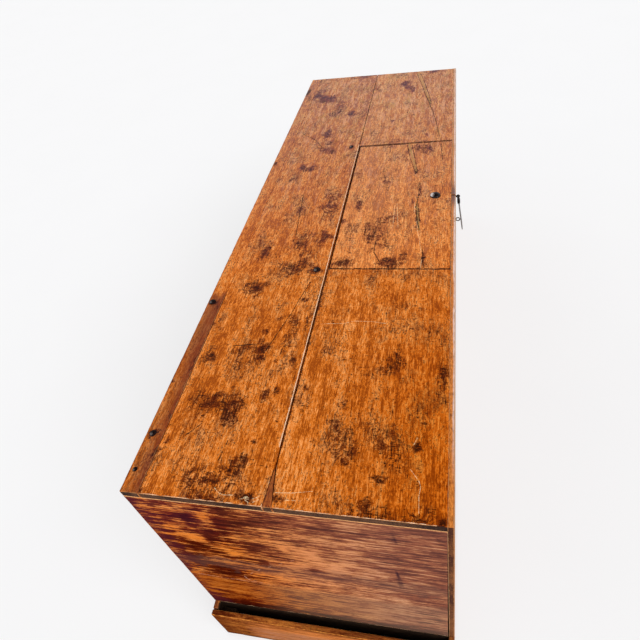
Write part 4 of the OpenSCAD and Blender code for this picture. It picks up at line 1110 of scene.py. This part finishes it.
def carved_plate():
    """The outer plate of the front board: a grid of places X, Z whose points near the edge of
    a cut or the bottom of a ring slide on to it, set back by the depth of the cut; then rings
    round the border carry it to the flat back."""
    left, right, foot, head = front_low[0], front_high[0], front_low[2], front_high[2]
    columns = [left + t for t in (0, 0.4, 1.2, 3, 8, 16, 24, 32)]
    for k in (-1, 0, 1):
        middle = k * FIELD_PITCH
        columns += list(np.linspace(middle - FIELD_W / 2 - 1, middle + FIELD_W / 2 + 1, 166))
        columns += [middle + FIELD_W / 2 + t for t in (10, 20, 30)]
    columns = [c for c in columns if c < right - 38] + [right - t for t in (32, 24, 16, 8, 3, 1.2, 0.4, 0)]
    columns = np.unique(np.round(columns, 3))
    # The sides of the notch take two columns each, 0.2 mm apart
    sides = np.round(EYE_X + np.array([-3.4, -3.2, 0, 3.2, 3.4]), 3)
    columns = np.unique(np.concatenate([columns[np.abs(columns - EYE_X) > 4.2], sides]))
    rows = np.concatenate([foot + np.array([0, 0.4, 1.2, 3, 8, 16, 24, 32, 40]),
                           np.linspace(FIELD_Z - FIELD_H / 2 - 1, FIELD_Z + FIELD_H / 2 + 1, 123),
                           np.arange(FIELD_Z + FIELD_H / 2 + 8, head - 10, 7.5),
                           np.round(NOTCH_Z + np.array([-0.1, 0.2]), 3),
                           head - np.array([4, 2, 1.0, 0.5, 0.2, 0])])
    x, z = np.meshgrid(columns, rows, indexing="ij")
    own = np.clip(np.round(x / FIELD_PITCH), -1, 1) * FIELD_PITCH
    gap = cuts(x - own, z - FIELD_Z)[1]
    slope_x = (cuts(x + 0.2 - own, z - FIELD_Z)[1] - cuts(x - 0.2 - own, z - FIELD_Z)[1]) / 0.4
    slope_z = (cuts(x - own, z + 0.2 - FIELD_Z)[1] - cuts(x - own, z - 0.2 - FIELD_Z)[1]) / 0.4
    inside = (np.abs(x - own) < FIELD_W / 2 + 4) & (np.abs(z - FIELD_Z) < FIELD_H / 2 + 4)
    near = (np.abs(gap) < SNAP) & inside
    x = x - np.where(near, gap * slope_x, 0)
    z = z - np.where(near, gap * slope_z, 0)
    out = np.maximum(np.hypot(x - own, z - FIELD_Z), 1)
    pull = np.where(np.abs(out - ROUNDEL + GROOVE / 2) < SNAP, (ROUNDEL - GROOVE / 2) / out, 1)
    x, z = own + (x - own) * pull, FIELD_Z + (z - FIELD_Z) * pull
    depth, gap, ground = cuts(x - own, z - FIELD_Z)
    depth[near] = 0
    edge = np.minimum(np.minimum(x - left, right - x), np.minimum(z - foot, head - z))
    arris = 1.2
    rounded = arris - np.sqrt(np.maximum(arris ** 2 - np.clip(arris - edge, 0, None) ** 2, 0))
    spots = np.stack([x, np.full_like(x, front_low[1]), z], -1).reshape(-1, 3)
    to_edge, to_cut = edge.ravel(), gap.ravel()
    worn = 0.15 * (1 + lumps(spots, 50, 70))
    worn += np.exp(-to_edge / 2) * np.clip(lumps(spots, 14, 71), 0, 1) * 0.8
    worn += np.exp(-np.abs(to_cut) / 1.5) * np.clip(lumps(spots, 20, 72), 0, 1) * 0.5
    spots[:, 1] += rounded.ravel() + depth.ravel() + worn
    wide, tall = x.shape
    notch = (np.abs(spots[:, 0] - EYE_X) < NOTCH_HALF) & (spots[:, 2] > NOTCH_Z)
    spots[notch, 2] = NOTCH_Z
    index = np.arange(wide * tall).reshape(wide, tall)
    corners = [index[:-1, :-1], index[1:, :-1], index[1:, 1:], index[:-1, 1:]]
    faces = np.stack(corners, -1).reshape(-1, 4).tolist()
    border = np.concatenate([index[:, 0], index[-1, 1:], index[-2::-1, -1], index[0, -2:0:-1]])
    rim = spots[border]
    back = front_low[1] + PLATE
    rings = [rim]
    for y, inset in ((front_low[1] + 4, 0.0), (back - 1.5, 0.0), (back - 0.4, 0.25), (back, 0.9)):
        ring = rim.copy()
        ring[:, 1] = y
        ring[:, 0] = np.clip(ring[:, 0], left + inset, right - inset)
        ring[:, 2] = np.clip(ring[:, 2], foot + inset, np.where(ring[:, 2] > 653, head - inset, NOTCH_Z))
        worn = np.clip(lumps(ring, 22, 74) - 0.1, 0, 1) * (1.0 if inset else 0.35)
        ring[:, 2] -= np.where(ring[:, 2] > 655, worn, 0)
        rings.append(ring)
    around, start = len(border), len(spots)
    for k in range(len(rings) - 1):
        before = border if k == 0 else start + (k - 1) * around + np.arange(around)
        after = start + k * around + np.arange(around)
        faces += np.stack([before, after, np.roll(after, -1), np.roll(before, -1)], -1).tolist()
    faces.append((start + (len(rings) - 2) * around + np.arange(around)).tolist())
    points = np.concatenate([spots] + rings[1:])
    mark = np.concatenate([to_edge] + [np.full(around, t) for t in (3.5, 1.5, 0.4, 0.2)])
    pad = np.zeros(len(points) - len(spots))
    rims = np.where((to_cut > -1.5) & (to_cut < 4), np.exp(-np.abs(to_cut) / 1.6), 0)
    marks = [np.concatenate([t, pad]) for t in (depth.ravel(), ground.ravel() * 1.0, rims)]
    return points, faces, mark, marks


plate, plate_faces, plate_edge, plate_marks = carved_plate()
inner_low = np.array([front_low[0] + 22.0, front_low[1] + 9.0, front_low[2]])
inner_high = np.array([front_high[0] - 22.0, front_high[1], front_high[2] - 16.0])
inner, inner_faces, inner_edge = board_shell(inner_low, inner_high, "xzy", 1.0, 14.0, wear=0.3, seed=76)
pad = np.zeros(len(inner))
front = solid("front_board_wood", [(plate, plate_faces), (inner, inner_faces)], {
    "arris": np.concatenate([plate_edge, inner_edge]),
    **{key: np.concatenate([plate_marks[k], pad]) for k, key in enumerate(("depth", "ground", "rim"))}})
finish_piece(front, "trunk", "front_board", CARVED, END_RED, inside=(INNER_X, (0, 1, 0)))


# Ironwork

def dome(x, y, z, head, rise, shank, long, seed):
    """A forged head with its shank: half width (head / 2) cos a at height rise sin a, its
    outline and crown uneven by a few tenths of a millimetre."""
    a = np.linspace(0, math.pi / 2 * 0.96, 12)
    stem = [shank * 0.2, shank / 2, shank / 2, head * 0.44, head / 2]
    radii = np.concatenate([stem, head / 2 * np.cos(a[1:])])
    heights = np.concatenate([[-long, -long + 4, -0.1, -0.1, 0.1], rise * np.sin(a[1:])])
    points, faces = turned(radii, heights, np.array([x, y, z]))
    upper = points[:, 2] > z - 0.2
    worn = 1 - 0.05 * (1 + lumps(points, head * 0.35, seed)) * upper
    points[:, :2] = (points[:, :2] - [x, y]) * worn[:, None] + [x, y]
    points[:, 2] -= np.where(points[:, 2] > z + 0.3, 0.03 * rise * (1 + lumps(points, 2.5, seed + 1)), 0)
    return points, faces


top_z = cad("top_back_board")[1][2]
# Nails: X, Y and width of the head in millimetres; rise of the head by its width; shank
strip_nails = [(-761.2, 253.5, 9), (-694.4, 251.0, 13), (-373.6, 253.5, 16)]
seam_nails = [(-268, 39, 17), (276, 39, 14)]
NAIL_RISE, NAIL_SHANK, NAIL_LONG = 0.24, 4, 38
for node, nails, seed in (("back_strip_nails", strip_nails, 0), ("top_nails", seam_nails, 5)):
    shells = [dome(x, y, top_z, head, head * NAIL_RISE, NAIL_SHANK, NAIL_LONG, seed + k)
              for k, (x, y, head) in enumerate(nails)]
    finish_piece(solid(node + "_iron", shells), "trunk", node, NAIL)
low, high = cad("lid_stud")
middle = (low + high) / 2
stud = dome(middle[0], middle[1], top_z, high[0] - low[0], high[2] - top_z, 6, 12, 9)
finish_piece(solid("lid_stud_iron", [stud]), "lid", "lid_stud", STUD)


def ring_eye(node, body, wire, shank, seed):
    """An eye: a bar bent round in a ring across X and run back into the wood as a shank."""
    low, high = cad(node)
    size = high[2] - low[2]
    middle = np.array([(low[0] + high[0]) / 2, low[1] + size / 2, (low[2] + high[2]) / 2])
    t = np.linspace(0, 2 * math.pi, 40, endpoint=False)
    path = middle + np.stack([np.zeros(40), np.cos(t), np.sin(t)], -1) * (size - wire) / 2
    thick = wire / 2 * (1 - 0.05 * (1 + lumps(path, 3, seed)))
    ring = tube(path, thick, 14, closed=True)
    start = middle[1] + (size - wire) / 2
    heights = np.array([start, start + 1, high[1] - 3, high[1]])
    pin = turned(np.array([0.35, 0.5, 0.5, 0.2]) * shank, heights, [middle[0], 0, middle[2]], "zxy", 16)
    return finish_piece(solid(node + "_iron", [ring, pin]), body, node, IRON)


ring_eye("lid_eye", "lid", 2.8, 4.4, 11)
ring_eye("staple_eye", "trunk", 2.8, 4.4, 12)


def hasp():
    """The hasp in its own plane, hanging from its bar: a bar bent to a loop, a collar and a
    strap, which is a rounded section carried round between its outline and its slot."""
    inner, wire = 9, 3.6
    half, bend = (inner + wire) / 2, 1.8
    turn = np.linspace(0, math.pi / 2, 6)
    loop = [(-half, 0, -17), (-half, 0, -10)]
    loop += [(-half + bend - bend * math.cos(t), 0, -bend + bend * math.sin(t)) for t in turn]
    loop += [(-x, y, z) for x, y, z in loop[::-1]]
    radius = np.array([1.8] * 2 + [1.9, 1.95, 2.0, 2.05, 2.1, 2.1])
    bar = tube(loop, np.concatenate([radius, radius[::-1]]), 16)
    block, block_faces, _ = board_shell(np.array([-8.1, -3.5, -18.0]), np.array([8.1, 3.5, -9.0]),
                                        "xzy", 1.5, 3.0, wear=0.4, seed=81)
    t = np.linspace(0, 2 * math.pi, 72, endpoint=False)
    way = np.stack([np.sin(t), np.cos(t)], -1)
    centre = -71.0
    # The slot is 6.4 mm wide and 20 mm long, with round ends
    slot = way * 3.2 + [0, centre] + np.stack([np.zeros(72), 6.8 * np.clip(3 * way[:, 1], -1, 1)], -1)
    # The outline is 20 mm wide, straight at the top and round at the foot
    top, foot = -12.0, -93.0
    reach = np.minimum(10 / np.maximum(np.abs(way[:, 0]), 1e-6),
                       np.where(way[:, 1] > 0, (top - centre) / np.maximum(way[:, 1], 1e-6), 1e6))
    below = np.where(way[:, 1] < 0, 1.0, 0.0)
    drop = centre - foot
    b, c = drop * -way[:, 1], drop ** 2 - 100
    tip = b + np.sqrt(np.maximum(b * b - c, 0))
    reach = np.where((below > 0) & (reach * -way[:, 1] > drop), tip, reach)
    outline = way * reach[:, None] + [0, centre]
    # From slot to outline as a share of the way, and through as a share of half the thickness
    section = np.array([
        (0, 0.35), (0.06, 0.85), (0.16, 1), (0.5, 1), (0.84, 1), (0.95, 0.85), (1, 0.35),
        (1, -0.35), (0.95, -0.85), (0.84, -1), (0.5, -1), (0.16, -1), (0.06, -0.85), (0, -0.35)])
    flat = slot[:, None] + (outline - slot)[:, None] * section[None, :, :1]
    strap = np.stack([flat[..., 0], np.broadcast_to(1.2 * section[:, 1], flat.shape[:2]), flat[..., 1]], -1)
    strap = strap.reshape(-1, 3)
    strap[:, 1] *= 1 - 0.06 * (1 + lumps(strap, 7, 82))
    shells = [bar, (block, block_faces), (strap, skin(72, len(section), closed=True))]
    low, high = cad("hasp")
    joint = next(j for j in frame["joints"] if j["name"] == "hasp_turn")
    pivot = np.array(joint["pos_m"]) * 1000
    # At rest it leans outwards by this angle
    lean = math.radians(-6.3)
    spin = np.array([[1, 0, 0], [0, math.cos(lean), -math.sin(lean)], [0, math.sin(lean), math.cos(lean)]])
    shells = [(np.clip(np.asarray(p) @ spin.T + pivot, low, high), f) for p, f in shells]
    return finish_piece(solid("hasp_iron", shells), "hasp", "hasp", IRON)


hasp()
# The lid's pins keep their CAD mesh
for place in frame["nodes"]["lid_pins"].material_slots:
    place.material = IRON

# Studio

# Metres from the middle to the plinth's outer faces along X and Y
FOOT_HALF = (0.829, 0.264)

# Matt pale paper: an even ground
made, tree, output = new_material("pale_floor_paper")
place = put(tree, "TexCoord", out=3)
fleck = put(tree, "TexNoise", {0: place, "Scale": 3.0, "Detail": 2.0})
tint = put(tree, "ValToRGB", {0: fleck}, stops=[(0.3, "#F5F5F6"), (0.7, "#F7F7F8")])
paper = put(tree, "BsdfPrincipled", {"Base Color": tint, "Roughness": 1.0, "Specular IOR Level": 0.0})
# Camera and mirror rays see the paper beside the trunk mostly as an evenly lit backdrop,
# which still takes shadows
seen = put(tree, "LightPath")
for ray in ("Is Glossy Ray", "Is Transmission Ray"):
    seen = put(tree, "Math", {0: seen, 1: put(tree, "LightPath", out=ray)}, operation="MAXIMUM")
even = put(tree, "Emission", {0: "#F7F7F7", 1: 1.0})
beside = put(tree, "VectorMath", {0: place}, operation="ABSOLUTE")
beside = put(tree, "VectorMath", {0: beside, 1: (*FOOT_HALF, 0.0)}, operation="SUBTRACT")
over_x, over_y = [put(tree, "SeparateXYZ", {0: beside}, out=k) for k in (0, 1)]
beside = put(tree, "Math", {0: over_x, 1: over_y}, operation="MAXIMUM")
beside = put(tree, "MapRange", {0: beside, 1: -0.01, 2: 0.01, 4: 0.65})
seen = put(tree, "Math", {0: seen, 1: beside}, operation="MULTIPLY")
tree.links.new(put(tree, "MixShader", {0: seen, 1: paper, 2: even}), output.inputs[0])
floor_mesh = bpy.data.meshes.new("floor")
floor_mesh.from_pydata([(-40, -40, 0), (40, -40, 0), (40, 40, 0), (-40, 40, 0)], [], [(0, 1, 2, 3)])
floor = bpy.data.objects.new("floor", floor_mesh)
floor_mesh.materials.append(made)
bpy.context.scene.collection.objects.link(floor)

world = bpy.data.worlds.new("studio")
world.use_nodes = True
bpy.context.scene.world = world
tree = world.node_tree
tree.nodes.clear()
# Bright near the horizon and dark overhead, so that the wax shines only towards the far end
way = put(tree, "TexCoord", out=0)
height = put(tree, "VectorMath", {0: way, 1: (0.1, -0.1, 0.99)}, out=1, operation="DOT_PRODUCT")
sky = put(tree, "ValToRGB", {0: height}, stops=[
    (0.0, "#F7F7F8"), (1.0, "#08080A"), (0.6, "#F2F2F4"), (0.68, "#D4D4D8"), (0.75, "#A4A4A8"),
    (0.83, "#98989C"), (0.875, "#0A0A0C")])
tree.links.new(put(tree, "Background", {0: sky, 1: 1.0}),
               tree.nodes.new("ShaderNodeOutputWorld").inputs[0])

# A soft window high up at the left front
lamp = bpy.data.lights.new("window", "SUN")
lamp.energy = 2.3
lamp.angle = math.radians(50)
sun = bpy.data.objects.new("window", lamp)
bpy.context.scene.collection.objects.link(sun)
sun.rotation_mode = "QUATERNION"
sun.rotation_quaternion = Vector((-0.45, -0.5, 0.75)).to_track_quat("Z", "Y")

# The camera that was fitted to the photo: lens in millimetres, shifts as shares of the frame,
# the ways of its right, up and back, and its place in metres
eye = bpy.data.cameras.new("photo_camera")
eye.sensor_width, eye.lens = 36.0, 29.90
eye.shift_x, eye.shift_y = -0.0188, -0.0789
camera = bpy.data.objects.new("photo_camera", eye)
bpy.context.scene.collection.objects.link(camera)
right, up, back = (0.1691, -0.9741, -0.15), (0.6715, 0.0025, 0.741), (-0.7214, -0.226, 0.6546)
pose = Matrix([list(row) for row in np.stack([right, up, back], 1)]).to_4x4()
pose.translation = (-1.1196, -0.2632, 1.4336)
camera.matrix_world = pose
bpy.context.scene.camera = camera

bpy.context.scene.view_settings.view_transform = "Standard"
